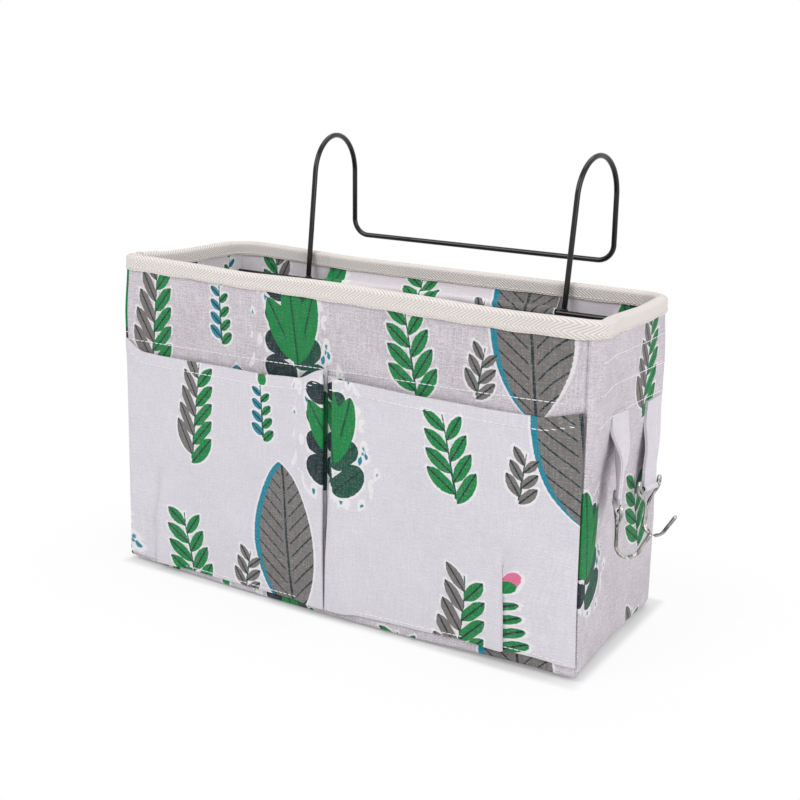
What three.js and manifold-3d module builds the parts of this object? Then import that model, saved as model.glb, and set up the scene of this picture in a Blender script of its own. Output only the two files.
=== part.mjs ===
import * as THREE from "three";
import { mergeVertices } from "three/addons/utils/BufferGeometryUtils.js";
import Module from "manifold-3d";

// Crib organizer: a stiffened canvas box with two pleated front pockets, a black wire rack that hooks
// over the bed rail, and two bright wire hooks on straps at the right end.
// Millimetres, +Z up. The front faces -Y, the rail is behind it at +Y, and the box stands on z = 0.

// Box, outside sizes
const width = 322;
const depth = 122;
const height = 200;

// Wall build, from outside to inside
const canvasThickness = 1.0;
const boardThickness = 2.4;
const liningThickness = 0.8;
const layerGap = 0.3;
const seatGap = 0.3;

// Rim tape
const tapeThickness = 0.9;
const tapeOuterBand = 10;
const tapeInnerBand = 9.5;

// Front pockets
const pocketMouthDrop = 51;
const pocketFootHeight = 3;
const pocketGape = 8.5;
const pocketMouthSag = 5;
const pocketSeamInset = 0.8;
const pocketMeetingGap = 0.8;
const leftPleatInset = 24;
const rightPleatInset = 41;
const pleatRamp = 9;
const centreTuck = 11;
const foldGap = 0.5;
const outerRise = 22;
const innerRise = 55;

// Part of the outer inset that lies flat on the wall, and how quickly the pocket opens above its foot
const seamFlatShare = 0.6;
const openingEase = 0.7;

// Rack wire
const rackWireDiameter = 3.5;
const rackBarLength = 300;
const rackLegSpacing = 192;
const rackBarDrop = 21.3;
const rackLean = 8.5;
const archRadius = 27;
const archRise = 72.7;
const archSplay = 3.6;
const backBarRise = 2;
const rackBendRadius = 11;
const weldGap = 0.3;

// Sleeve on the back wall
const sleeveWidth = 172;
const sleeveShift = 6;
const sleeveCloth = 0.8;
const sleeveClearance = 0.4;
const sleeveFootDrop = 11;
const sleeveTailDrop = 4.5;

// Straps and hooks
const strapWidth = 22;
const strapThickness = 1.8;
const strapLoopCloth = 0.9;
const strapLoopClearance = 0.35;
const strapEndStretch = 5;
const strapBendShare = 1 / 3;
const hookWireDiameter = 1.9;
const hookTwinOffset = 1.2;
const hookEarGap = 14.8;
const hookEarWidth = 3.4;
const hookEarRise = 4.6;
const hookShoulderDrop = 1;
const hookNeckDrop = 9.5;
const hookDepth = 28;
const hookBowlRadius = 6.7;
const hookTipReach = 18.2;
const hookTipRise = 13.4;
const hookTipAngle = 60;
const hookButtGap = 0.3;

// How the front strap and its hook hang: the seam's middle from the front face, then the middle of the
// hook's bar from the seam: outward, forward and down, its turn about the vertical and its tilt in
// degrees, and how far the strap's fold has slid along the bar
const frontSeamInset = 44;
const frontBarOut = 12.8;
const frontBarForward = 24;
const frontSeamDrop = 58;
const frontBarDrop = 44.7;
const frontBarTurn = 28;
const frontBarTilt = 6;
const frontFoldSlide = 0.8;

// The same for the rear strap, with its seam measured from the back face
const rearSeamInset = 26;
const rearSeamDrop = 62;
const rearBarOut = 4.8;
const rearBarForward = 7.5;
const rearBarDrop = 51.5;
const rearBarTurn = 0;
const rearBarTilt = 9;
const rearFoldSlide = 0;

// Fineness of the faceted curves: sides around a wire, length of a step along it, steps of an arc
const rackBarSides = 12;
const rackWireSides = 8;
const rackWireStep = 4;
const hookWireSides = 6;
const hookWireStep = 1.2;
const sleeveArcSteps = 8;
const strapBodySteps = 8;
const strapEdgeSteps = 4;
const strapFoldSteps = 12;
const strapWidthSteps = 2;
const pocketRampSteps = 4;
const pocketFaceSteps = 7;
const pocketRows = 9;

// Sizes that follow from the ones above
const wallThickness = canvasThickness + boardThickness + liningThickness + 2 * layerGap;
const wallTop = height - tapeThickness - seatGap;
const halfWidth = width / 2;
const halfDepth = depth / 2;
const rackWireRadius = rackWireDiameter / 2;
const hookWireRadius = hookWireDiameter / 2;
const liningBackY = halfDepth - wallThickness;
const tapeBackY = liningBackY - seatGap - tapeThickness;
const lean = THREE.MathUtils.degToRad(rackLean);
const rackBarZ = height - rackBarDrop;
const rackBarY = tapeBackY - seatGap - rackWireRadius / Math.cos(lean) - rackBarDrop * Math.tan(lean);

// Finishes
const printedCanvas = { color: 0xdcd6dc, roughness: 0.92, metalness: 0 };
const liningCloth = { color: 0xd8d3da, roughness: 0.93, metalness: 0 };
const greyBoard = { color: 0x9a9186, roughness: 0.85, metalness: 0 };
const creamTape = { color: 0xe4dcd2, roughness: 0.9, metalness: 0 };
const blackWire = { color: 0x08080a, roughness: 0.22, metalness: 0.3 };
const brightWire = { color: 0xc9c8c5, roughness: 0.2, metalness: 1 };

function mesh(name, geometry, finish) {
  const result = new THREE.Mesh(geometry, new THREE.MeshStandardMaterial(finish));
  result.name = name;
  return result;
}

function smooth(value) {
  return THREE.MathUtils.smoothstep(value, 0, 1);
}

// A flat plate between two corners
function plate(name, low, high, finish) {
  const size = high.map((value, axis) => value - low[axis]);
  const middle = high.map((value, axis) => (value + low[axis]) / 2);
  const result = mesh(name, new THREE.BoxGeometry(...size), finish);
  result.position.set(...middle);
  return result;
}

// One layer of the box: four walls and a floor, the ends held between front and back
function layer(prefix, inset, thickness, finish) {
  const x = halfWidth - inset;
  const y = halfDepth - inset;
  const endY = y - thickness - layerGap;
  const innerX = x - thickness - layerGap;
  return [
    plate(`${prefix}_front`, [-x, -y, inset], [x, -y + thickness, wallTop], finish),
    plate(`${prefix}_back`, [-x, y - thickness, inset], [x, y, wallTop], finish),
    plate(`${prefix}_left`, [-x, -endY, inset], [-x + thickness, endY, wallTop], finish),
    plate(`${prefix}_right`, [x - thickness, -endY, inset], [x, endY, wallTop], finish),
    plate(`${prefix}_base`, [-innerX, -endY, inset], [innerX, endY, inset + thickness], finish),
  ];
}

// Booleans on closed bodies
const wasm = await Module();
wasm.setup();

function toSolid(geometry) {
  const bare = geometry.clone();
  bare.deleteAttribute("normal");
  bare.deleteAttribute("uv");
  const merged = mergeVertices(bare);
  const vertProperties = new Float32Array(merged.attributes.position.array);
  const triVerts = new Uint32Array(merged.index.array);
  return new wasm.Manifold(new wasm.Mesh({ numProp: 3, vertProperties, triVerts }));
}

function toGeometry(solid) {
  const { vertProperties, triVerts } = solid.getMesh();
  const geometry = new THREE.BufferGeometry();
  geometry.setAttribute("position", new THREE.BufferAttribute(new Float32Array(vertProperties), 3));
  geometry.setIndex(new THREE.BufferAttribute(new Uint32Array(triVerts), 1));
  geometry.computeVertexNormals();
  return geometry;
}

// A rectangular ring around the box, grown from the box's outside by the given amounts
function ring(outerGrowth, innerGrowth, low, high) {
  const shape = new THREE.Shape();
  const hole = new THREE.Path();
  for (const [path, growth] of [[shape, outerGrowth], [hole, innerGrowth]]) {
    const x = halfWidth + growth;
    const y = halfDepth + growth;
    path.moveTo(-x, -y).lineTo(x, -y).lineTo(x, y).lineTo(-x, y).closePath();
  }
  shape.holes.push(hole);
  const geometry = new THREE.ExtrudeGeometry(shape, { depth: high - low, bevelEnabled: false });
  return toSolid(geometry.translate(0, 0, low));
}

// Tape folded over the rim: an outer band, a top and an inner band in one piece
function rimBinding() {
  const outer = seatGap + tapeThickness;
  const inner = -wallThickness - seatGap;
  const outerBand = ring(outer, seatGap, height - tapeOuterBand, height);
  const top = ring(outer, inner - tapeThickness, height - tapeThickness, height);
  const innerBand = ring(inner, inner - tapeThickness, height - tapeInnerBand, height);
  return mesh("rim_binding", toGeometry(outerBand.add(top).add(innerBand)), creamTape);
}

// A closed sheet of even thickness around a grid of middle points, rows by columns
function thickSheet(rows, thickness) {
  const rowCount = rows.length;
  const columnCount = rows[0].length;
  const positions = [];
  const step = (list, index) => [list[Math.max(index - 1, 0)], list[Math.min(index + 1, list.length - 1)]];
  for (const side of [1, -1]) {
    for (let r = 0; r < rowCount; r++) {
      for (let c = 0; c < columnCount; c++) {
        const [left, right] = step(rows[r], c);
        const [below, above] = step(rows, r).map((row) => row[c]);
        const across = new THREE.Vector3().subVectors(right, left);
        const along = new THREE.Vector3().subVectors(above, below);
        const normal = across.cross(along).normalize();
        positions.push(rows[r][c].clone().addScaledVector(normal, (side * thickness) / 2));
      }
    }
  }
  const at = (side, r, c) => side * rowCount * columnCount + r * columnCount + c;
  const triangles = [];
  const quad = (a, b, c, d) => triangles.push(a, b, c, a, c, d);
  for (let r = 0; r < rowCount - 1; r++) {
    for (let c = 0; c < columnCount - 1; c++) {
      quad(at(0, r, c), at(0, r, c + 1), at(0, r + 1, c + 1), at(0, r + 1, c));
      quad(at(1, r, c), at(1, r + 1, c), at(1, r + 1, c + 1), at(1, r, c + 1));
    }
  }
  const lastRow = rowCount - 1;
  const lastColumn = columnCount - 1;
  for (let c = 0; c < lastColumn; c++) {
    quad(at(0, 0, c), at(1, 0, c), at(1, 0, c + 1), at(0, 0, c + 1));
    quad(at(0, lastRow, c), at(0, lastRow, c + 1), at(1, lastRow, c + 1), at(1, lastRow, c));
  }
  for (let r = 0; r < lastRow; r++) {
    quad(at(0, r, 0), at(0, r + 1, 0), at(1, r + 1, 0), at(1, r, 0));
    quad(at(0, r, lastColumn), at(1, r, lastColumn), at(1, r + 1, lastColumn), at(0, r + 1, lastColumn));
  }
  return closedBody(positions, triangles);
}

// A body from points and triangles, turned so that its faces point out
function closedBody(points, triangles) {
  let volume = 0;
  for (let i = 0; i < triangles.length; i += 3) {
    const [a, b, c] = triangles.slice(i, i + 3).map((index) => points[index]);
    volume += a.dot(new THREE.Vector3().crossVectors(b, c));
  }
  const geometry = new THREE.BufferGeometry().setFromPoints(points);
  geometry.setIndex(volume > 0 ? triangles : triangles.reverse());
  geometry.computeVertexNormals();
  return geometry;
}

// Half circle of a fold in plan, from one layer to the next
function foldArc(along, middle, radius, direction) {
  const turns = [0.25, 0.5, 0.75];
  return turns.map((share) => [
    along + direction * radius * Math.sin(share * Math.PI),
    middle + radius * Math.cos(share * Math.PI),
  ]);
}

// A pocket's cloth: sewn flat at the outer seam, raised by the outer pleat to its face, folded back
// under itself at the middle and sewn down there. Each point holds the distance from the outer seam
// and the stand-off from the front wall.
function pocketSection(clothWidth, pleatInset, opening) {
  const firstLayer = seatGap + canvasThickness / 2;
  const pitch = canvasThickness + foldGap;
  const foldAt = clothWidth - (pitch + canvasThickness) / 2;
  const tuckEnd = foldAt - centreTuck;
  const mouthLayer = pocketGape - canvasThickness / 2;
  const face = (along) => {
    const flap = 2 * pitch * smooth((along - (tuckEnd - pleatRamp)) / pleatRamp);
    return firstLayer + flap + opening * (mouthLayer - firstLayer - flap);
  };
  const section = [[0, firstLayer], [pleatInset * seamFlatShare, firstLayer]];
  for (let step = 0; step <= pocketRampSteps; step++) {
    const share = step / pocketRampSteps;
    const along = pleatInset + pleatRamp * share;
    section.push([along, firstLayer + smooth(share) * (face(along) - firstLayer)]);
  }
  const faceStart = pleatInset + pleatRamp;
  for (let step = 1; step <= pocketFaceSteps; step++) {
    const along = faceStart + ((foldAt - faceStart) * step) / pocketFaceSteps;
    section.push([along, face(along)]);
  }
  section.push(...foldArc(foldAt, face(foldAt) - pitch / 2, pitch / 2, 1));
  section.push([foldAt, face(foldAt) - pitch]);
  section.push([tuckEnd, firstLayer + pitch]);
  section.push(...foldArc(tuckEnd, firstLayer + pitch / 2, pitch / 2, -1));
  section.push([tuckEnd, firstLayer]);
  section.push([clothWidth, firstLayer]);
  return section;
}

function pocket(name, side, pleatInset) {
  const clothWidth = halfWidth - pocketSeamInset - pocketMeetingGap / 2;
  const mouth = height - pocketMouthDrop;
  const rows = [];
  for (let r = 0; r < pocketRows; r++) {
    const share = r / (pocketRows - 1);
    const opening = Math.sin((share * Math.PI) / 2) ** openingEase;
    const row = pocketSection(clothWidth, pleatInset, opening).map(([along, standOff]) => {
      const sag = pocketMouthSag * smooth(along / outerRise) * smooth((clothWidth - along) / innerRise);
      const top = mouth - sag;
      const z = pocketFootHeight + (top - pocketFootHeight) * share;
      return new THREE.Vector3(side * (halfWidth - pocketSeamInset - along), -halfDepth - standOff, z);
    });
    rows.push(row);
  }
  return mesh(name, thickSheet(rows, canvasThickness), printedCanvas);
}

// Arc between two points around a centre
class ArcCurve extends THREE.Curve {
  constructor(start, end, centre) {
    super();
    this.centre = centre;
    this.from = start.clone().sub(centre);
    this.to = end.clone().sub(centre);
    this.angle = this.from.angleTo(this.to);
  }

  getPoint(t, target = new THREE.Vector3()) {
    const sine = Math.sin(this.angle);
    target.copy(this.centre);
    target.addScaledVector(this.from, Math.sin((1 - t) * this.angle) / sine);
    return target.addScaledVector(this.to, Math.sin(t * this.angle) / sine);
  }
}

// A bent wire's middle line: straight runs between corners, each corner an arc of its own radius
function bentLine(corners) {
  const path = new THREE.CurvePath();
  let start = corners[0].at;
  const shortestRun = 0.001;
  const addRun = (end) => {
    if (start.distanceTo(end) > shortestRun) path.add(new THREE.LineCurve3(start, end));
  };
  for (let i = 1; i < corners.length - 1; i++) {
    const { at, radius } = corners[i];
    const before = corners[i - 1].at.clone().sub(at).normalize();
    const after = corners[i + 1].at.clone().sub(at).normalize();
    const half = before.angleTo(after) / 2;
    const arcStart = at.clone().addScaledVector(before, radius / Math.tan(half));
    const arcEnd = at.clone().addScaledVector(after, radius / Math.tan(half));
    const centre = at.clone().addScaledVector(before.clone().add(after).normalize(), radius / Math.sin(half));
    addRun(arcStart);
    path.add(new ArcCurve(arcStart, arcEnd, centre));
    start = arcEnd;
  }
  addRun(corners[corners.length - 1].at);
  return path;
}

function roundShape(radius, sides) {
  const shape = new THREE.Shape();
  for (let i = 0; i < sides; i++) {
    const angle = (2 * Math.PI * i) / sides;
    const point = [radius * Math.cos(angle), radius * Math.sin(angle)];
    if (i === 0) shape.moveTo(...point);
    else shape.lineTo(...point);
  }
  return shape.closePath();
}

function wire(line, radius, sides, stepLength) {
  const steps = Math.ceil(line.getLength() / stepLength);
  const shape = roundShape(radius, sides);
  return new THREE.ExtrudeGeometry(shape, { steps, bevelEnabled: false, extrudePath: line });
}

// Corners of one half of a wire that is the same on both sides, then the mirrored half
function mirrored(half, axis) {
  const other = half.map(({ at, radius }) => {
    const point = at.clone();
    point.setComponent(axis, -point.getComponent(axis));
    return { at: point, radius };
  });
  return [...half, ...other.reverse()];
}

// Rack, measured from the middle of its cross bar. The arches splay outward towards the back.
function rackWire() {
  const x = -rackLegSpacing / 2;
  const top = rackBarDrop + archRise;
  const foot = 2 * rackWireRadius + weldGap;
  const frontTop = top * Math.tan(lean);
  const quarter = Math.PI / 4;
  const back = frontTop + archRadius * (Math.tan(quarter - lean / 2) + Math.tan(quarter));
  const bottom = rackBarDrop + backBarRise;
  const splay = THREE.MathUtils.degToRad(archSplay);
  const point = (reach, rise) => new THREE.Vector3(x - reach * Math.sin(splay), reach * Math.cos(splay), rise);
  const half = [
    { at: point(foot * Math.sin(lean), foot * Math.cos(lean)) },
    { at: point(frontTop, top), radius: archRadius },
    { at: point(back, top), radius: archRadius },
    { at: point(back, bottom), radius: rackBendRadius },
  ];
  return wire(bentLine(mirrored(half, 0)), rackWireRadius, rackWireSides, rackWireStep);
}

function rack() {
  const group = new THREE.Group();
  group.position.set(0, rackBarY, rackBarZ);
  const bar = new THREE.CylinderGeometry(rackWireRadius, rackWireRadius, rackBarLength, rackBarSides);
  const barMesh = mesh("rack_bar", bar, blackWire);
  barMesh.rotation.z = Math.PI / 2;
  group.add(barMesh, mesh("rack_wire", rackWire(), blackWire));
  return group;
}

// Angle at which a line from a point touches a circle, on the chosen side
function touchAngle(point, centre, radius, side) {
  const offset = point.clone().sub(centre);
  return offset.angle() + side * Math.acos(radius / offset.length());
}

// Closed outline of a strip of cloth around its middle line
function stripShape(points, thickness) {
  const sides = [[], []];
  points.forEach((point, index) => {
    const before = points[Math.max(index - 1, 0)];
    const after = points[Math.min(index + 1, points.length - 1)];
    const along = after.clone().sub(before).normalize();
    const normal = new THREE.Vector2(-along.y, along.x);
    sides[0].push(point.clone().addScaledVector(normal, thickness / 2));
    sides[1].push(point.clone().addScaledVector(normal, -thickness / 2));
  });
  return new THREE.Shape([...sides[0], ...sides[1].reverse()]);
}

// Sleeve: hangs from under the tape, passes in front of and under the bar, and is sewn to the lining
function barSleeve() {
  const bar = new THREE.Vector2(rackBarY, rackBarZ);
  const radius = rackWireRadius + sleeveClearance + sleeveCloth / 2;
  const flat = liningBackY - seatGap - sleeveCloth / 2;
  const top = new THREE.Vector2(flat, height - tapeInnerBand - seatGap - sleeveCloth / 2);
  const tail = new THREE.Vector2(flat, rackBarZ - sleeveTailDrop);
  const foot = new THREE.Vector2(flat, rackBarZ - sleeveFootDrop);
  const start = touchAngle(top, bar, radius, 1);
  const end = touchAngle(tail, bar, radius, -1) + 2 * Math.PI;
  const points = [top];
  const sweep = (end - start) % (2 * Math.PI);
  for (let step = 0; step <= sleeveArcSteps; step++) {
    const angle = start + (sweep * step) / sleeveArcSteps;
    points.push(new THREE.Vector2(Math.cos(angle), Math.sin(angle)).multiplyScalar(radius).add(bar));
  }
  points.push(tail, foot);
  const settings = { depth: sleeveWidth, bevelEnabled: false };
  const geometry = new THREE.ExtrudeGeometry(stripShape(points, sleeveCloth), settings);
  const axes = [new THREE.Vector3(0, 1, 0), new THREE.Vector3(0, 0, 1), new THREE.Vector3(1, 0, 0)];
  geometry.applyMatrix4(new THREE.Matrix4().makeBasis(...axes));
  geometry.translate(sleeveShift - sleeveWidth / 2, 0, 0);
  return mesh("bar_sleeve", geometry, liningCloth);
}

// Hook, measured from the middle of its bar: X outward, Y along the bar, Z up
function hookWire() {
  const point = (x, y, z) => new THREE.Vector3(x, y, z);
  const earOuter = hookEarGap + hookEarWidth;
  const twin = hookTwinOffset;
  const tipAngle = THREE.MathUtils.degToRad(hookTipAngle);
  const bowlEnd = hookTipReach - hookTipRise / Math.tan(tipAngle);
  const half = [
    { at: point(0, hookButtGap / 2, 0) },
    { at: point(0, hookEarGap, 0), radius: hookEarWidth / 2 },
    { at: point(0, hookEarGap, hookEarRise), radius: hookEarWidth / 2 },
    { at: point(0, earOuter, hookEarRise), radius: hookEarWidth / 2 },
    { at: point(0, earOuter, -hookShoulderDrop), radius: hookEarWidth },
    { at: point(0, twin, -hookNeckDrop), radius: 2 * hookEarWidth },
    { at: point(0, twin, -hookDepth), radius: hookBowlRadius },
    { at: point(bowlEnd, twin, -hookDepth), radius: hookBowlRadius },
    { at: point(hookTipReach, twin, -hookDepth + hookTipRise), radius: twin },
  ];
  return wire(bentLine(mirrored(half, 1)), hookWireRadius, hookWireSides, hookWireStep);
}

// Outline of a strap seen from the side: down its length in x, its thickness in y. The top is
// rounded about the seam, and the foot is a fold around the hook's bar.
function strapOutline(length) {
  const half = strapThickness / 2;
  const holeRadius = hookWireRadius + strapLoopClearance;
  const loopRadius = holeRadius + strapLoopCloth;
  const neck = Math.asin(half / loopRadius);
  const points = [];
  const arc = (centre, radius, from, to, steps) => {
    for (let step = 0; step <= steps; step++) {
      const angle = from + ((to - from) * step) / steps;
      points.push(new THREE.Vector2(centre + radius * Math.cos(angle), radius * Math.sin(angle)));
    }
  };
  arc(0, half, Math.PI / 2, (3 * Math.PI) / 2, strapEdgeSteps);
  const bodyLength = length - loopRadius * Math.cos(neck);
  for (let step = 1; step < strapBodySteps; step++) {
    points.push(new THREE.Vector2((bodyLength * step) / strapBodySteps, -half));
  }
  arc(length, loopRadius, -Math.PI + neck, Math.PI - neck, strapFoldSteps);
  for (let step = strapBodySteps - 1; step > 0; step--) {
    points.push(new THREE.Vector2((bodyLength * step) / strapBodySteps, half));
  }
  const shape = new THREE.Shape(points);
  const hole = new THREE.Path();
  for (let i = 0; i < strapFoldSteps; i++) {
    const angle = (-2 * Math.PI * i) / strapFoldSteps;
    const place = [length + holeRadius * Math.cos(angle), holeRadius * Math.sin(angle)];
    if (i === 0) hole.moveTo(...place);
    else hole.lineTo(...place);
  }
  shape.holes.push(hole.closePath());
  return shape;
}

// Strap, measured from its seam: its middle line bends from straight down at the seam to the fold,
// and its width turns from the seam's direction to the bar's direction
function strapGeometry(fold, barDirection) {
  const down = new THREE.Vector3(0, 0, -1);
  const seamDirection = new THREE.Vector3(0, 1, 0);
  const pull = fold.clone().addScaledVector(barDirection, -fold.dot(barDirection)).normalize();
  const reach = fold.length() * strapBendShare;
  const line = new THREE.CubicBezierCurve3(
    new THREE.Vector3(),
    down.clone().multiplyScalar(reach),
    fold.clone().addScaledVector(pull, -reach),
    fold,
  );
  const length = line.getLength();
  const settings = { depth: strapWidth, steps: strapWidthSteps, bevelEnabled: false };
  const geometry = new THREE.ExtrudeGeometry(strapOutline(length), settings);
  const position = geometry.attributes.position;
  for (let i = 0; i < position.count; i++) {
    const distance = position.getX(i);
    const share = THREE.MathUtils.clamp(distance / (length - strapEndStretch), 0, 1);
    const onLine = THREE.MathUtils.clamp(distance, 0, length - strapEndStretch);
    const middle = line.getPointAt(onLine / length);
    const tangent = line.getTangentAt(onLine / length);
    if (share === 1) {
      tangent.copy(pull);
      middle.copy(fold).addScaledVector(pull, -strapEndStretch);
    }
    const across = seamDirection.clone().lerp(barDirection, smooth(share));
    across.addScaledVector(tangent, -across.dot(tangent)).normalize();
    const outward = new THREE.Vector3().crossVectors(across, tangent).negate();
    const point = middle.addScaledVector(tangent, distance - onLine);
    point.addScaledVector(outward, position.getY(i));
    point.addScaledVector(across, position.getZ(i) - strapWidth / 2);
    position.setXYZ(i, point.x, point.y, point.z);
  }
  return closedFromTriangles(geometry);
}

// The same surface with shared corners merged, turned so that its faces point out
function closedFromTriangles(geometry) {
  geometry.deleteAttribute("normal");
  geometry.deleteAttribute("uv");
  const merged = mergeVertices(geometry);
  const points = [];
  const position = merged.attributes.position;
  for (let i = 0; i < position.count; i++) {
    points.push(new THREE.Vector3().fromBufferAttribute(position, i));
  }
  return closedBody(points, Array.from(merged.index.array));
}

// One strap with its hook, hung on the seam
function hanger({ name, seamY, seamDrop, out, forward, drop, turn, tilt, slide }) {
  const group = new THREE.Group();
  const seamX = halfWidth + seatGap + strapThickness / 2;
  group.position.set(seamX, seamY, height - seamDrop);
  const hookMesh = mesh(`hook_${name}`, hookWire(), brightWire);
  hookMesh.rotation.set(THREE.MathUtils.degToRad(-tilt), 0, THREE.MathUtils.degToRad(turn), "ZXY");
  hookMesh.position.set(out, -forward, -drop);
  const barDirection = new THREE.Vector3(0, 1, 0).applyEuler(hookMesh.rotation);
  const fold = hookMesh.position.clone().addScaledVector(barDirection, slide);
  group.add(mesh(`strap_${name}`, strapGeometry(fold, barDirection), printedCanvas), hookMesh);
  return group;
}

const frontHanger = {
  name: "front",
  seamY: -halfDepth + frontSeamInset,
  seamDrop: frontSeamDrop,
  out: frontBarOut,
  forward: frontBarForward,
  drop: frontBarDrop,
  turn: frontBarTurn,
  tilt: frontBarTilt,
  slide: frontFoldSlide,
};
const rearHanger = {
  name: "rear",
  seamY: halfDepth - rearSeamInset,
  seamDrop: rearSeamDrop,
  out: rearBarOut,
  forward: rearBarForward,
  drop: rearBarDrop,
  turn: rearBarTurn,
  tilt: rearBarTilt,
  slide: rearFoldSlide,
};

const group = new THREE.Group();
group.add(...layer("panel", 0, canvasThickness, printedCanvas));
group.add(...layer("board", canvasThickness + layerGap, boardThickness, greyBoard));
group.add(...layer("lining", wallThickness - liningThickness, liningThickness, liningCloth));
group.add(rimBinding());
group.add(pocket("pocket_left", -1, leftPleatInset));
group.add(pocket("pocket_right", 1, rightPleatInset));
group.add(barSleeve());
group.add(rack());
group.add(hanger(frontHanger), hanger(rearHanger));

export default group;
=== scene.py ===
"""Crib organizer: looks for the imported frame.

A stiffened canvas box with a taped rim and two pleated pockets, a black wire rack that hooks over the
bed rail, and two bright wire hooks on straps at the right end. Blender 4.5, metres, the same frame as
the solids: the front faces -Y, the rail is behind at +Y, and the box stands on z = 0.
"""

from __future__ import annotations

import logging
import math
from dataclasses import dataclass, field
from enum import Enum
from typing import Callable, Sequence

import bpy
import bmesh
from mathutils import Matrix, Vector

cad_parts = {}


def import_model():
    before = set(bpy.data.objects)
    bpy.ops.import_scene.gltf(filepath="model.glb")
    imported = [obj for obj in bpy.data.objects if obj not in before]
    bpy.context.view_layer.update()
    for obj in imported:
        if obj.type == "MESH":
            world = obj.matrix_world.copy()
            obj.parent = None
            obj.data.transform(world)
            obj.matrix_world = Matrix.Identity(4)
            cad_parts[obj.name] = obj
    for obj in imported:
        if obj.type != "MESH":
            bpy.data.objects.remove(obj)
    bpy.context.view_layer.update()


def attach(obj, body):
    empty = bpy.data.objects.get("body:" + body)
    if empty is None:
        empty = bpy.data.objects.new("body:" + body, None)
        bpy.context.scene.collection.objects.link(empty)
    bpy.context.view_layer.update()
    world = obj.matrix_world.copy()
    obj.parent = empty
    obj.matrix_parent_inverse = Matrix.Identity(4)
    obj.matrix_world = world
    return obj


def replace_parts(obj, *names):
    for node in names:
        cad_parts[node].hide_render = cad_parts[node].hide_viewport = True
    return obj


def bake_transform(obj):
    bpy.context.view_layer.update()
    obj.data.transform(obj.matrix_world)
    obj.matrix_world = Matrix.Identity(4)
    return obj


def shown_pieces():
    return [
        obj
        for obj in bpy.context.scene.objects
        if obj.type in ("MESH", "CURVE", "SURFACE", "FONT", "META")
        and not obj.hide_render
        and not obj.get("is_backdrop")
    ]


LOG = logging.getLogger("crib_organizer")

CLOTH_UV = "cloth"
SMOOTH_WIRE, SMOOTH_CLOTH = math.radians(40), math.radians(50)

Piece = bpy.types.Object
Pair = tuple[float, float]
Table = tuple[Pair, ...]
Placed = tuple[Vector, Pair]
Place = Callable[[int, int], Placed]
Corners = Sequence[tuple[Vector, float]]


# --- Small helpers -----------------------------------------------------------------------------------


def smooth(value: float) -> float:
    """Eased step from 0 to 1 while value goes from 0 to 1."""
    share = min(max(value, 0.0), 1.0)
    return share * share * (3 - 2 * share)


def rise(value: float, start: float, length: float) -> float:
    """Eased step that goes up from 0 at start to 1 a length further on."""
    return smooth((value - start) / length)


def fall(value: float, end: float, length: float) -> float:
    """Eased step that comes down to 0 at end from 1 a length before it."""
    return smooth((end - value) / length)


def mix(a: float, b: float, share: float) -> float:
    """Value between a and b."""
    return a + (b - a) * share


def eased_line(stations: Sequence[Pair], at: float) -> float:
    """Height at a place of a line that is level at each (place, height) station."""
    if at <= stations[0][0]:
        return stations[0][1]
    for (x0, z0), (x1, z1) in zip(stations, stations[1:]):
        if at <= x1:
            return mix(z0, z1, smooth((at - x0) / (x1 - x0)))
    return stations[-1][1]


def run_length(line: Sequence[Pair]) -> float:
    """Length of a line of points."""
    return sum(math.dist(a, b) for a, b in zip(line, line[1:]))


def spread(start: float, end: float, step: float, fine: Sequence[float] = ()) -> list[float]:
    """Places from start to end, close together at both ends.

    Args:
        start: first place.
        end: last place, above the first.
        step: distance between places in the middle.
        fine: distances from each end that are places too.

    Returns:
        The sorted places.
    """
    last = fine[-1] if fine else 0.0
    count = max(1, round((end - start - 2 * last) / step))
    middle = [start + last + (end - start - 2 * last) * i / count for i in range(count + 1)]
    edges = [start + f for f in fine[:-1]] + [end - f for f in fine[:-1]]
    return sorted(set(middle + edges))


def deselect() -> None:
    """Leaves nothing selected, because operators act on all that is."""
    if bpy.context.object and bpy.context.object.mode != "OBJECT":
        bpy.ops.object.mode_set(mode="OBJECT")
    bpy.ops.object.select_all(action="DESELECT")


def make_active(piece: Piece) -> None:
    """Selects one piece alone and makes it the active one."""
    deselect()
    piece.select_set(True)
    bpy.context.view_layer.objects.active = piece


def apply_all(piece: Piece) -> None:
    """Applies the piece's modifiers, top to bottom, and shades it smooth."""
    make_active(piece)
    for modifier in list(piece.modifiers):
        bpy.ops.object.modifier_apply(modifier=modifier.name)
    bpy.ops.object.shade_smooth_by_angle(angle=SMOOTH_CLOTH)


def merge_doubles(piece: Piece, face_out: bool = False) -> None:
    """Merges points that lie on each other and, where asked, turns the faces out."""
    make_active(piece)
    bpy.ops.object.mode_set(mode="EDIT")
    bpy.ops.mesh.select_all(action="SELECT")
    bpy.ops.mesh.remove_doubles(threshold=1e-6)
    if face_out:
        bpy.ops.mesh.normals_make_consistent(inside=False)
    bpy.ops.object.mode_set(mode="OBJECT")


def stand_for(piece: Piece, body: str, node: str) -> None:
    """Puts a piece on its body in the place of a node, whose part it hides."""
    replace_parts(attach(piece, body), node)


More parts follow.
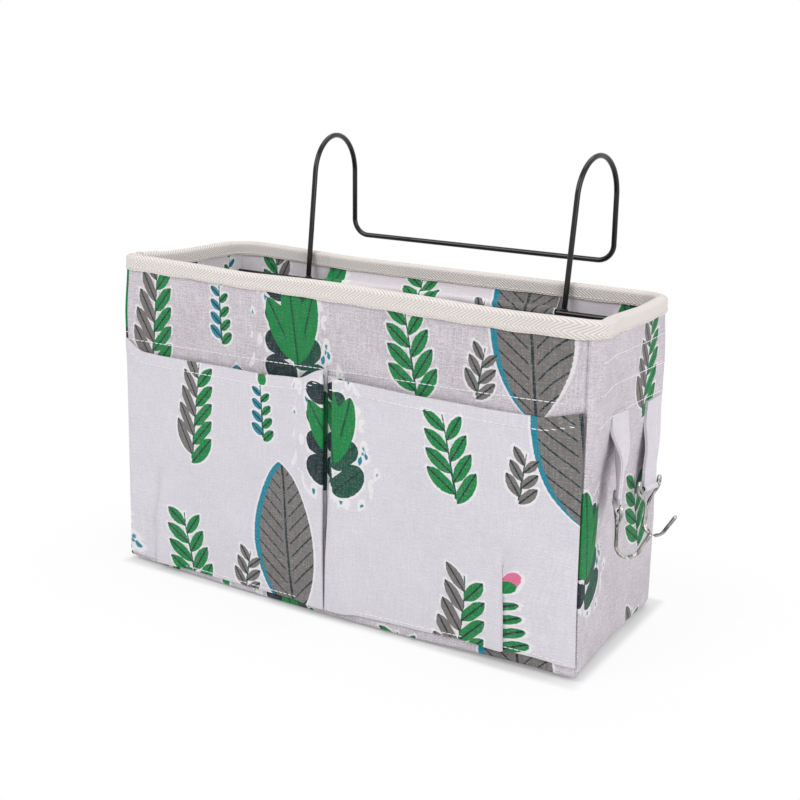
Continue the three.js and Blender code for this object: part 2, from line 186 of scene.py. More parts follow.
def cloth_grid(name: str, columns: int, rows: int, place: Place, thickness: float, closed: bool = False) -> Piece:
    """Sheet of cloth with its own real-size UV map.

    Args:
        name: piece name.
        columns: faces across.
        rows: faces up.
        place: gives the middle surface's point and its UV, in metres, for a column and a row.
        thickness: cloth thickness.
        closed: the last column meets the first.

    Returns:
        The solid sheet.
    """
    deselect()
    bpy.ops.mesh.primitive_grid_add(x_subdivisions=columns, y_subdivisions=rows, size=1)
    piece = bpy.context.object
    mesh = piece.data
    piece.name = mesh.name = name
    maps = []
    for vertex in mesh.vertices:
        vertex.co, uv = place(round((vertex.co.x + 0.5) * columns), round((vertex.co.y + 0.5) * rows))
        maps.append(uv)
    layer = mesh.uv_layers[0]
    layer.name = CLOTH_UV
    for loop in mesh.loops:
        layer.data[loop.index].uv = maps[loop.vertex_index]
    if closed:
        merge_doubles(piece)
    solid = piece.modifiers.new("cloth thickness", "SOLIDIFY")
    solid.thickness = thickness
    solid.offset = 0
    apply_all(piece)
    return piece


def tube(name: str, line: Sequence[Vector], radius: float, sides: int) -> Piece:
    """Round wire along a line of points, with closed ends.

    Args:
        name: piece name.
        line: points of the middle line.
        radius: wire radius.
        sides: facets around, a multiple of four.

    Returns:
        The wire as a mesh.
    """
    deselect()
    curve = bpy.data.curves.new(name, "CURVE")
    curve.dimensions = "3D"
    spline = curve.splines.new("POLY")
    spline.points.add(len(line) - 1)
    for point, at in zip(spline.points, line):
        point.co = (*at, 1.0)
    curve.bevel_depth = radius
    curve.bevel_resolution = sides // 2 - 1
    curve.use_fill_caps = True
    curve.twist_mode = "MINIMUM"
    piece = bpy.data.objects.new(name, curve)
    bpy.context.scene.collection.objects.link(piece)
    make_active(piece)
    bpy.ops.object.convert(target="MESH")
    piece = bpy.context.object
    piece.name = name
    merge_doubles(piece, face_out=True)
    bpy.ops.object.shade_smooth_by_angle(angle=SMOOTH_WIRE)
    return piece


def bent_line(corners: Corners, turn_step: float) -> list[Vector]:
    """Middle line of a bent wire: straight runs, each corner an arc of its own radius.

    Args:
        corners: (corner, radius) pairs; the two ends have radius 0.
        turn_step: largest turn between two points, in degrees.

    Returns:
        The line's points.
    """
    line = [corners[0][0].copy()]
    for (before, _), (at, radius), (after, _) in zip(corners, corners[1:], corners[2:]):
        back, on = (before - at).normalized(), (after - at).normalized()
        half = back.angle(on) / 2
        start, end = at + back * (radius / math.tan(half)), at + on * (radius / math.tan(half))
        centre = at + (back + on).normalized() * (radius / math.sin(half))
        start_arm, end_arm = start - centre, end - centre
        angle = start_arm.angle(end_arm)
        steps = max(2, math.ceil(math.degrees(angle) / turn_step))
        for step in range(steps + 1):
            share = step / steps
            arm = start_arm * math.sin((1 - share) * angle) + end_arm * math.sin(share * angle)
            line.append(centre + arm / math.sin(angle))
    line.append(corners[-1][0].copy())
    return line


def mirrored(half: Corners, axis: int) -> Corners:
    """Corners of one half of a wire, then of the half mirrored along an axis."""
    other = []
    for at, radius in reversed(half):
        point = at.copy()
        point[axis] = -point[axis]
        other.append((point, radius))
    return [*half, *other]


# --- Box: where every sewn layer lies ----------------------------------------------------------------


class Corner(Enum):
    """Upright corners of the box, in the order of the walk round it."""

    FRONT_RIGHT = 0
    BACK_RIGHT = 1
    BACK_LEFT = 2
    FRONT_LEFT = 3


@dataclass
class BoxForm:
    """Outside of the box, and how the sewn cloth has settled on it.

    A place on the box is a walk in metres round the sharp plan, from the middle of the front to the
    right, with an inset from the outside and a height. The pairs are where an eased step starts or
    ends, and its length; the tables are (place, height) stations.
    """

    half_width: float = 0.161
    half_depth: float = 0.061
    height: float = 0.200
    foot_radii: tuple[float, ...] = (0.0012, 0.007, 0.006, 0.002)
    rim_radii: tuple[float, ...] = (0.0085, 0.015, 0.020, 0.010)
    radius_growth: float = 0.55
    least_radius: float = 0.0004
    right_side: Pair = (0.140, 0.021)
    left_side: Pair = (0.130, 0.031)
    front_side: Pair = (0.020, 0.041)
    back_side: Pair = (0.010, 0.050)
    near_front: float = 0.05
    belly: Pair = (0.196, 0.035)
    front_right_swell: float = 0.0106
    swell_growth: float = 1.15
    right_bulge: float = 0.0030
    left_bulge: float = 0.0036
    left_rim_bulge: float = 0.0034
    left_rim_from: Pair = (-0.040, 0.070)
    left_rim_to: Pair = (0.022, 0.040)
    hook_hollow: float = 0.0013
    hollow_foot: Pair = (0.055, 0.018)
    hollow_top: Pair = (0.128, 0.018)
    hollow_back: Pair = (0.059, 0.011)
    hollow_front: Pair = (-0.046, 0.012)
    foot_bow: float = 0.0052
    left_foot_bow: float = 0.0020
    foot_flare: float = 0.0026
    flare_run: Pair = (0.008, 0.069)
    ripple: float = 0.00028
    rim_ripple: float = 0.00035
    rim_front_rise: float = 0.0030
    rim_back_drop: float = 0.0034
    rim_share: Pair = (0.76, 0.22)
    back_left_rise: float = 0.0028
    back_left: Pair = (0.045, 0.11)
    behind_front: Pair = (-0.058, 0.030)
    left_end: Pair = (0.140, 0.018)
    left_front: Pair = (-0.0585, 0.006)
    right_sag: float = 0.0022
    front_rim: Table = (
        (-0.161, 0.0031), (-0.100, 0.0024), (-0.060, 0.0016), (-0.015, 0.0022), (0.050, 0.0010), (0.120, -0.0002),
        (0.161, 0.0),
    )
    left_rim: Table = ((-0.061, 0.0031), (-0.035, 0.0016), (0.0, 0.0012), (0.061, 0.0026))
    foot_sag: Table = (
        (-0.161, 0.0004), (-0.149, 0.0016), (-0.130, 0.0024), (-0.020, 0.0024), (0.060, 0.0021), (0.105, 0.0006),
        (0.135, 0.0004), (0.161, 0.0015),
    )

    def __post_init__(self) -> None:
        """Places of the corners on the walk."""
        w, d = self.half_width, self.half_depth
        self.corners = (w, w + 2 * d, 3 * w + 2 * d, 3 * w + 4 * d)
        self.around = 4 * (w + d)

    def radius(self, corner: Corner, z: float) -> float:
        """Corner radius at a height."""
        share = max(z, 0.0) / self.height
        return mix(self.foot_radii[corner.value], self.rim_radii[corner.value], share**self.radius_growth)

    def plan(self, walk: float, inset: float, z: float) -> Pair:
        """Plan position before settling.

        Args:
            walk: place round the box.
            inset: distance in from the outside, negative outside it.
            z: height.

        Returns:
            x and y.
        """
        w, d = self.half_width, self.half_depth
        walk = (walk + w) % self.around - w
        for corner in Corner:
            reach = max(self.radius(corner, z), inset + self.least_radius)
            off = walk - self.corners[corner.value]
            if corner is Corner.FRONT_LEFT and off < -self.around / 2:
                off += self.around
            if abs(off) < reach:
                turn = (off + reach) / (2 * reach) * math.pi / 2
                x, y = w - reach, d - reach
                sine, cosine = (reach - inset) * math.sin(turn), (reach - inset) * math.cos(turn)
                if corner is Corner.FRONT_RIGHT:
                    return x + sine, -y - cosine
                if corner is Corner.BACK_RIGHT:
                    return x + cosine, y + sine
                if corner is Corner.BACK_LEFT:
                    return -x - sine, y + cosine
                return -x - cosine, -y - sine
        if walk < self.corners[0]:
            return walk, -d + inset
        if walk < self.corners[1]:
            return w - inset, -d + walk - self.corners[0]
        if walk < self.corners[2]:
            return w - (walk - self.corners[1]), d - inset
        return -w + inset, d - (walk - self.corners[2])

    def settle(self, point: Vector) -> Vector:
        """Where a point of the sewn box has settled, the same for every layer."""
        x, y, z = point
        up = min(max(z / self.height, 0.0), 1.05)
        down = max(1 - up, 0.0)
        right, left = rise(x, *self.right_side), rise(-x, *self.left_side)
        front, back = rise(-y, *self.front_side), rise(y, *self.back_side)
        middle, belly = max(1 - front - back, 0.0), fall(z, *self.belly)
        near_front = smooth(-y / self.near_front)
        behind_hooks = rise(z, *self.hollow_foot) * fall(z, *self.hollow_top)
        behind_hooks = behind_hooks * fall(y, *self.hollow_back) * rise(y, *self.hollow_front)
        left_rim = rise(y, *self.left_rim_from) * (1 - 0.6 * rise(y, *self.left_rim_to))
        dx = self.front_right_swell * up**self.swell_growth * right * front
        dx += self.right_bulge * right * (back * (0.35 * up + 0.65 * belly * up**0.4) + 0.8 * middle * up)
        dx -= self.left_bulge * left * belly * (0.9 + 0.1 * up)
        dx -= self.left_rim_bulge * up**1.4 * left * left_rim
        dx -= self.hook_hollow * right * behind_hooks
        flare = min(max((self.flare_run[0] - y) / self.flare_run[1], 0.0), 1.0) ** 1.5
        dx += self.foot_flare * down**2 * right * flare
        dy = -self.foot_bow * down**0.8 * near_front * (1 - abs(x / self.half_width) ** 2.2)
        dy -= self.left_foot_bow * down**1.5 * near_front * left
        ripple = math.sin(x * 47 + 1.1) * math.sin(z * 33 + 0.4) + 0.6 * math.sin(x * 83 + z * 41)
        dy -= self.ripple * near_front * ripple * smooth(up * 4)
        dz = up * mix(self.rim_front_rise, -self.rim_back_drop, (y / self.half_depth + 1) / 2)
        dz += self.rim_ripple * up**3 * math.sin(x * 39 + 0.6) * near_front
        rim = rise(up, *self.rim_share)
        at_back = self.back_left_rise * rise(-x, *self.back_left)
        along = mix(eased_line(self.front_rim, x), at_back, rise(y, *self.behind_front))
        at_left = rise(-x, *self.left_end) * rise(y, *self.left_front)
        dz += rim * mix(along, eased_line(self.left_rim, y), at_left)
        dz -= self.right_sag * rim * right * middle
        backward = min(max((y + self.half_depth) / 0.050, 0.0), 1.0)
        dz -= eased_line(self.foot_sag, x) * down**2 * (1 - 0.9 * right * backward)
        return Vector((x + dx, y + dy, z + dz))

    def point(self, walk: float, inset: float, z: float) -> Vector:
        """Settled point at a walk, inset and height."""
        return self.settle(Vector((*self.plan(walk, inset, z), z)))

    def frame_at(self, walk: float, inset: float, z: float) -> Matrix:
        """Frame on the surface at a walk, inset and height: X along the walk, Y up and Z outward."""
        step = 0.0006
        along = (self.point(walk + step, inset, z) - self.point(walk - step, inset, z)).normalized()
        upward = (self.point(walk, inset, z + step) - self.point(walk, inset, z - step)).normalized()
        outward = along.cross(upward).normalized()
        frame = Matrix((along, outward.cross(along), outward)).transposed().to_4x4()
        frame.translation = self.point(walk, inset, z)
        return frame

    def front_seam(self, side: int, z: float) -> float:
        """Walk of the upright seam between the front and an end, side +1 right and -1 left."""
        share = max(z, 0.0) / self.height
        if side > 0:
            return self.half_width - 0.0062 * share**self.swell_growth + 0.0010 * (1 - share) ** 3 - 0.0004
        return -(self.half_width - 0.0022 * share - 0.0010)

    def pocket_seam(self, side: int, z: float) -> float:
        """Distance from the box's middle of the outer seam of a pocket."""
        return abs(self.front_seam(side, z)) - 0.0004


@dataclass(frozen=True)
class Layer:
    """One layer of the box: a wall's middle and its thickness, its two ends, and where the floor lies.

    The margin is what a wall stops short of the corners, and the floor's place is its inset and height.
    """

    inset: float
    thickness: float
    foot: float
    top: float
    margin: float
    floor: Pair


CANVAS = Layer(0.0005, 0.0010, 0.0005, 0.1982, 0.0, (0.0023, 0.0005))
BOARD = Layer(0.0025, 0.0024, 0.0016, 0.1984, 0.006, (0.0042, 0.0025))
LINING = Layer(0.0044, 0.0008, 0.0044, 0.1982, 0.0002, (0.0044, 0.0044))


@dataclass
class BoxShell:
    """Outer canvas, boards and lining of the box, five pieces of each."""

    form: BoxForm
    column_step: float = 0.0045
    row_step: float = 0.0050
    seam_groove: float = 0.0012
    seam_ridge: float = 0.0008
    groove_width: float = 0.0011
    ridge_start: float = 0.0012
    ridge_end: Pair = (0.0016, 0.0020)
    seam_fine: tuple[float, ...] = (0.0, 0.0005, 0.0011, 0.0018, 0.0028, 0.0042)
    edge_fine: tuple[float, ...] = (0.0, 0.0012, 0.003, 0.006, 0.010, 0.015)
    foot_roll: Table = ((0.0030, 0.0005), (0.0018, 0.0007), (0.0009, 0.0013), (0.0005, 0.0024))
    back_seam: float = 0.004
    floor_faces: tuple[int, int] = (64, 24)

    def seams(self, side: str, z: float) -> Pair:
        """Walks of the two upright seams of an outer wall, at a height."""
        form = self.form
        back_right, back_left = form.corners[1] + self.back_seam, form.corners[2] - self.back_seam
        return {
            "front": (form.front_seam(-1, z), form.front_seam(1, z)),
            "right": (form.front_seam(1, z), back_right),
            "back": (back_right, back_left),
            "left": (back_left, form.around + form.front_seam(-1, z)),
        }[side]

    def canvas_wall(self, side: str) -> Piece:
        """One outer canvas wall, its foot rolled in to the floor panel and its edges drawn into the seams."""
        start, end = self.seams(side, 0.1)
        widest = end - start
        across = [c / widest for c in spread(0.0, widest, self.column_step, self.seam_fine)]
        heights = [*self.foot_roll, *((CANVAS.inset, z) for z in spread(0.004, CANVAS.top, self.row_step))]
        ridge = self.seam_ridge if side in ("left", "right") else 0.0

        def place(column: int, row: int) -> Placed:
            inset, z = heights[row]
            walk = mix(*self.seams(side, z), across[column])
            edge = min(across[column], 1 - across[column]) * widest
            inset += self.seam_groove * (1 - smooth(edge / self.groove_width))
            inset -= ridge * smooth(edge / self.ridge_start) * (1 - rise(edge, *self.ridge_end))
            return self.form.point(walk, inset, z), (walk, z)

        return cloth_grid(f"canvas_{side}", len(across) - 1, len(heights) - 1, place, CANVAS.thickness)

    def flat_wall(self, name: str, layer: Layer, start: float, end: float) -> Piece:
        """One wall of a hidden or inner layer, between the walks of two corners."""
        walks = spread(start + layer.margin, end - layer.margin, self.column_step, self.edge_fine)
        heights = spread(layer.foot, layer.top, self.row_step)

        def place(column: int, row: int) -> Placed:
            walk, z = walks[column], heights[row]
            return self.form.point(walk, layer.inset, z), (walk, z)

        return cloth_grid(name, len(walks) - 1, len(heights) - 1, place, layer.thickness)

    def floor(self, name: str, layer: Layer) -> Piece:
        """Flat panel of the floor, following the plan's outline at its height."""
        form = self.form
        inset, z = layer.floor
        columns, rows = self.floor_faces
        limit_x, limit_y = form.half_width - inset, form.half_depth - inset

        def place(column: int, row: int) -> Placed:
            x, y = mix(-1, 1, column / columns), mix(-1, 1, row / rows)
            point = Vector((x * limit_x, y * limit_y, z))
            reach = max(form.radius(self.corner_for(x, y), z) - inset, form.least_radius)
            over_x, over_y = abs(point.x) - (limit_x - reach), abs(point.y) - (limit_y - reach)
            if over_x > 0 and over_y > 0:
                scale = max(over_x, over_y) / math.hypot(over_x, over_y)
                point.x = math.copysign(limit_x - reach + over_x * scale, x)
                point.y = math.copysign(limit_y - reach + over_y * scale, y)
            return form.settle(point), (point.x, point.y)

        return cloth_grid(name, columns, rows, place, layer.thickness)

    @staticmethod
    def corner_for(x: float, y: float) -> Corner:
        """Corner of the quarter of the floor that holds x and y."""
        if y < 0:
            return Corner.FRONT_RIGHT if x > 0 else Corner.FRONT_LEFT
        return Corner.BACK_RIGHT if x > 0 else Corner.BACK_LEFT

    def build(self) -> dict[str, list[Piece]]:
        """Makes all fifteen pieces and gives them by layer: canvas, board and lining."""
        sides = ("front", "right", "back", "left")
        ends = list(zip((-self.form.half_width, *self.form.corners), self.form.corners))
        canvas = [self.canvas_wall(side) for side in sides]
        canvas.append(self.floor("canvas_base", CANVAS))
        board, lining = [], []
        for side, (start, end) in zip(sides, ends):
            board.append(self.flat_wall(f"stiffener_{side}", BOARD, start, end))
            lining.append(self.flat_wall(f"inner_cloth_{side}", LINING, start, end))
        board.append(self.floor("stiffener_base", BOARD))
        lining.append(self.floor("inner_cloth_base", LINING))
        for pieces, node, slot in (
            (canvas, "panel", "printed_canvas"),
            (board, "board", "stiffening_board"),
            (lining, "lining", "lining_cloth"),
        ):
            for piece, side in zip(pieces, (*sides, "base")):
                stand_for(piece, "bag", f"{node}_{side}")
        return {"canvas": canvas, "board": board, "lining": lining}


# --- Sewn parts --------------------------------------------------------------------------------------


@dataclass
class RimBinding:
    """Herringbone tape folded over the rim, with its end lapped over its start on the left end."""

    form: BoxForm
    thickness: float = 0.0009
    outer_inset: float = -0.00075
    inner_inset: float = 0.00555
    outer_foot: Table = (
        (-0.161, 0.1905), (-0.100, 0.1905), (-0.060, 0.1908), (-0.015, 0.1894), (0.050, 0.1891), (0.150, 0.1894),
        (0.175, 0.1912), (0.283, 0.1906), (0.605, 0.1906), (0.668, 0.1895), (0.727, 0.1905),
    )
    inner_foot: float = 0.1907
    crown_start: float = 0.1974
    crown_rise: float = 0.0021
    sleeve_ends: Pair = (-0.080, 0.092)
    sleeve_ease: float = 0.0022
    sleeve_cloth: float = 0.0008
    lap_walk: float = 0.697
    lap_length: float = 0.016
    lap_out: float = 0.00088

    def foot_at(self, walk: float) -> float:
        """Height of the outer band's lower edge."""
        half = self.form.half_width
        return eased_line(self.outer_foot, (walk + half) % self.form.around - half)

    def profile(self, outer_foot: float) -> list[Pair]:
        """Middle line of the tape across the rim, as (inset, height), from the outer to the inner edge."""
        middle = (self.outer_inset + self.inner_inset) / 2
        half = (self.inner_inset - self.outer_inset) / 2
        points = [(self.outer_inset, mix(outer_foot, self.crown_start, s)) for s in (0, 0.1, 0.2, 0.35, 0.55, 0.8)]
        for step in range(11):
            angle = math.pi * (1 - step / 10)
            points.append((middle + half * math.cos(angle), self.crown_start + self.crown_rise * math.sin(angle)))
        points += [(self.inner_inset, mix(self.crown_start, self.inner_foot, s)) for s in (0.2, 0.4, 0.6, 0.78, 0.9, 1)]
        return points

    def over_sleeve(self, walk: float) -> float:
        """How much further in the inner band lies where the sleeve's top is sewn under it."""
        walk %= self.form.around
        x = self.form.plan(walk, 0.0, 0.19)[0] if self.form.corners[1] < walk < self.form.corners[2] else 1.0
        start, end, ease = *self.sleeve_ends, self.sleeve_ease
        return self.sleeve_cloth * smooth((x - start + ease) / ease) * smooth((end + ease - x) / ease)

    def band(self, name: str, walks: Sequence[float], out: float, closed: bool) -> Piece:
        """A run of tape over the rim.

        Args:
            name: piece name.
            walks: places round the box.
            out: how much further out the tape lies, on both sides.
            closed: the run goes all the way round.

        Returns:
            The tape.
        """
        profiles = [self.profile(self.foot_at(walk)) for walk in walks]
        crown = 6

        def place(column: int, row: int) -> Placed:
            walk, profile = walks[column], profiles[column]
            inset, z = profile[row]
            run = run_length(profile[: row + 1]) - run_length(profile[: crown + 1])
            inner = smooth((inset - self.outer_inset) / (self.inner_inset - self.outer_inset))
            wave = 0.00022 * math.sin(walk * 210 + 0.7) + 0.00018 * math.sin(walk * 97)
            inset += inner * self.over_sleeve(walk) - out * (1 - 2 * inner)
            z += wave * fall(z, 0.1935, 0.004) + out * smooth((z - self.crown_start + 0.001) / 0.003)
            return self.form.point(walk, inset, z), (walk, run)

        piece = cloth_grid(name, len(walks) - 1, len(profiles[0]) - 1, place, self.thickness, closed)
        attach(piece, "bag")
        return piece

    def build(self) -> list[Piece]:
        """The tape all the way round and its lapped end."""
        start = self.lap_walk
        walks = [start + self.form.around * i / 300 for i in range(301)]
        extra = [w for x in self.sleeve_ends for w in self.near(x)]
        walks = sorted(set(walks + [w + self.form.around if w < start else w for w in extra]))
        tape = self.band("rim_tape", walks, 0.0, True)
        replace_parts(tape, "rim_binding")
        lap = self.band("rim_tape_end", [start + self.lap_length * i / 8 for i in range(9)], self.lap_out, False)
        return [tape, lap]

    def near(self, x: float) -> list[float]:
        """Extra walks on the back wall around a place x, where the tape steps over the sleeve's edge."""
        at = self.form.corners[1] + self.form.half_width - x
        return [at + off for off in (-0.0024, -0.0012, 0.0, 0.0012, 0.0024)]


@dataclass
class FrontPocket:
    """One pleated pocket cloth of the front, from its outer seam to the folded edge at the middle.

    A line of the cloth is a run of (distance from the outer seam, stand-off from the wall).
    """

    form: BoxForm
    name: str
    side: int
    mouth: Table
    pleat_at: float
    fold_retreat: float
    cloth: float = 0.0009
    first_layer: float = 0.0008
    layer_pitch: float = 0.0015
    pleat_depth: float = 0.009
    pleat_ramp: float = 0.010
    pleat_top: float = 0.082
    pleat_closed: float = 0.030
    tuck: float = 0.011
    gapes: tuple[float, float, float] = (0.0026, 0.0028, 0.0056)
    foot: float = 0.0030
    foot_line: Table = ((-0.150, 0.0040), (0.0, 0.0056), (0.060, 0.0074))
    mouth_height: float = 0.147
    meeting_gap: float = 0.0004
    hem: float = 0.0085
    hem_step: float = 0.00035
    hem_shares: tuple[float, ...] = (1 - 0.052, 1 - 0.040, 1 - 0.018, 1.0)
    rows: int = 46
    face_steps: int = 34
    flat_height: float = 0.143
    measured_at: float = 0.09
    pleat_fade: float = 0.030
    middle_from: float = 0.035
    inner_from: float = 0.040
    ripple: float = 0.00032
    ripple_ends: float = 0.02
    ripple_foot: float = 0.03

    def fold_walk(self, z: float) -> float:
        """Distance of the middle fold from the box's middle, at a height."""
        return self.meeting_gap + (self.layer_pitch + self.cloth) / 2 + self.fold_retreat * self.opening(z) ** 2

    def opening(self, z: float) -> float:
        """Share of the gape at a height."""
        share = min(max((z - self.foot) / (self.mouth_height - self.foot), 0.0), 1.0)
        return math.sin(share * math.pi / 2) ** 0.8

    def face_standoff(self, along: float, length: float, z: float, closed: float) -> float:
        """Stand-off of the pocket's face from the wall.

        Args:
            along: distance from the outer seam.
            length: distance of the middle fold from the outer seam.
            z: height.
            closed: how closed the pleat is at this height, 0 to 1.

        Returns:
            The middle of the cloth's distance from the wall.
        """
        pleat = 2 * self.layer_pitch * closed * (1 - rise(along, self.pleat_at, self.pleat_fade))
        flap = 2 * self.layer_pitch * rise(along, length - self.tuck - self.pleat_ramp, self.pleat_ramp)
        low = self.first_layer + max(pleat, flap)
        outer, middle, inner = self.gapes
        high = mix(outer, middle, rise(along, self.pleat_at, self.middle_from))
        high += (inner - middle) * smooth((along - length + self.inner_from) / self.inner_from)
        stand = low + self.opening(z) * max(high - low, 0.0)
        fade = rise(along, self.pleat_at, self.ripple_ends) * fall(along, length, self.ripple_ends)
        ripple = math.sin(along * 105 + z * 21 + self.side) + 0.7 * math.sin(along * 61 - z * 37)
        return stand + self.ripple * ripple * fade * rise(z, self.foot, self.ripple_foot)

    def section(self, z: float) -> list[Pair]:
        """The cloth's line at a height."""
        closed = 1 - smooth((z - self.pleat_closed) / (self.pleat_top - self.pleat_closed))
        h0, pitch, turns = self.first_layer, self.layer_pitch, (0.79, 1.57, 2.36)
        start, end, reach = self.pleat_at, self.pleat_at + self.pleat_depth, self.pleat_at + self.pleat_ramp
        seam = self.form.pocket_seam(self.side, z)
        length = seam - self.fold_walk(z)
        face = lambda along: self.face_standoff(along, length, z, closed)
        top_layer = h0 + 2 * pitch + self.opening(z) * (self.gapes[0] - h0 - 2 * pitch)
        lift = (top_layer - h0) / 2
        shut = [(end * i / 9, h0) for i in range(10)]
        shut += [(end + lift / 2 * math.sin(a), h0 + lift / 2 * (1 - math.cos(a))) for a in turns]
        shut += [(mix(end, start, i / 4), h0 + lift) for i in range(5)]
        shut += [(start - lift / 2 * math.sin(a), h0 + lift + lift / 2 * (1 - math.cos(a))) for a in turns]
        steps = len(shut)
        wide = []
        low = start * 0.62
        for i in range(steps):
            along = reach * i / steps
            wide.append((along, h0 + smooth((along - low) / (reach - low)) * (face(reach) - h0)))
        line = [(mix(b[0], a[0], closed), mix(b[1], a[1], closed)) for a, b in zip(shut, wide)]
        begin = mix(reach, start, closed)
        for i in range(self.face_steps + 1):
            along = mix(begin, length, i / self.face_steps)
            line.append((along, face(along)))
        at_fold, half = face(length), pitch / 2
        line += [(length + half * math.sin(a), at_fold - half * (1 - math.cos(a))) for a in (0.6, 1.2, 1.8, 2.4)]
        meeting = seam - self.meeting_gap
        tuck_end, back = meeting - self.tuck, at_fold - pitch
        line += [(mix(length, tuck_end, i / 4), mix(back, h0 + pitch, smooth(i / 4))) for i in range(5)]
        line += [(tuck_end - half * math.sin(a), h0 + half + half * math.cos(a)) for a in turns]
        line += [(mix(tuck_end, meeting, i / 3), h0) for i in range(4)]
        return line

    def build(self) -> Piece:
        """The pocket cloth."""
        shares = [*(i / self.rows for i in range(self.rows - 3)), *self.hem_shares]
        flat_line = self.section(self.measured_at)
        columns = len(flat_line) - 1

        def place(column: int, row: int) -> Placed:
            share = shares[row]
            column = column if self.side < 0 else columns - column
            z = mix(self.foot, self.mouth_height, share)
            for _ in range(2):
                along, standoff = self.section(z)[column]
                x = self.side * (self.form.pocket_seam(self.side, z) - along)
                top = eased_line(self.mouth, x)
                z = mix(eased_line(self.foot_line, x), top, share)
            standoff += self.hem_step * fall(top - z, self.hem, 0.0015)
            run = run_length(flat_line[: column + 1])
            return self.form.point(x, -standoff, z), (self.side * (self.form.half_width - run), z)

        piece = cloth_grid(f"pocket_cloth_{self.name}", columns, len(shares) - 1, place, self.cloth)
        stand_for(piece, "bag", f"pocket_{self.name}")
        return piece


@dataclass
class BarSleeve:
    """Flap of cloth that hangs from under the rim tape, wraps the rack's bar and is sewn to the lining."""

    ends: Pair = (-0.080, 0.092)
    bar_y: float = 0.0497473
    bar_z: float = 0.1787
    wrap_radius: float = 0.00255
    wrap: Pair = (math.radians(62), math.radians(292))
    wrap_steps: int = 16
    wall_y: float = 0.0556
    top: float = 0.1897
    emerge: float = 0.1870
    tail: float = 0.1739
    foot: float = 0.1677
    cloth: float = 0.0007
    columns: int = 86

    def section(self) -> list[Pair]:
        """The cloth's line from its top down, as (y, z)."""
        wall, tail, radius = self.wall_y, self.tail, self.wrap_radius
        points = [(wall, self.top), (wall, self.emerge + 0.0006)]
        for i in range(self.wrap_steps + 1):
            angle = mix(*self.wrap, i / self.wrap_steps)
            points.append((self.bar_y + radius * math.cos(angle), self.bar_z + radius * math.sin(angle)))
        y, z = points[-1]
        points += [(mix(y, wall, s), mix(z, tail, smooth(s))) for s in (0.35, 0.7)]
        return [*points, (wall, tail - 0.0003), (wall, mix(tail, self.foot, 0.5)), (wall, self.foot)]

    def build(self) -> Piece:
        """The sleeve."""
        section = self.section()
        lengths = [0.0]
        for a, b in zip(section, section[1:]):
            lengths.append(lengths[-1] + math.dist(a, b))

        def place(column: int, row: int) -> Placed:
            index = len(section) - 1 - row
            y, z = section[index]
            x = mix(*self.ends, column / self.columns)
            loose = fall(y, self.wall_y, 0.003)
            ripple = 0.5 + 0.5 * math.sin(x * 150 + 1.3 * math.sin(x * 61)) * math.sin(index * 0.55 + x * 40)
            grow = 1 + 0.22 * ripple * loose
            y = self.bar_y + (y - self.bar_y) * (grow if y < self.bar_y else 1)
            z = self.bar_z + (z - self.bar_z) * (grow if loose > 0 else 1)
            flutter = 0.0004 * math.sin(x * 120) * fall(z, 0.1712, 0.003)
            return Vector((x, y, z + flutter)), (x, -lengths[index])

        piece = cloth_grid("sleeve_cloth", self.columns, len(section) - 1, place, self.cloth)
        stand_for(piece, "bag", "bar_sleeve")
        return piece


# --- Wires and straps --------------------------------------------------------------------------------


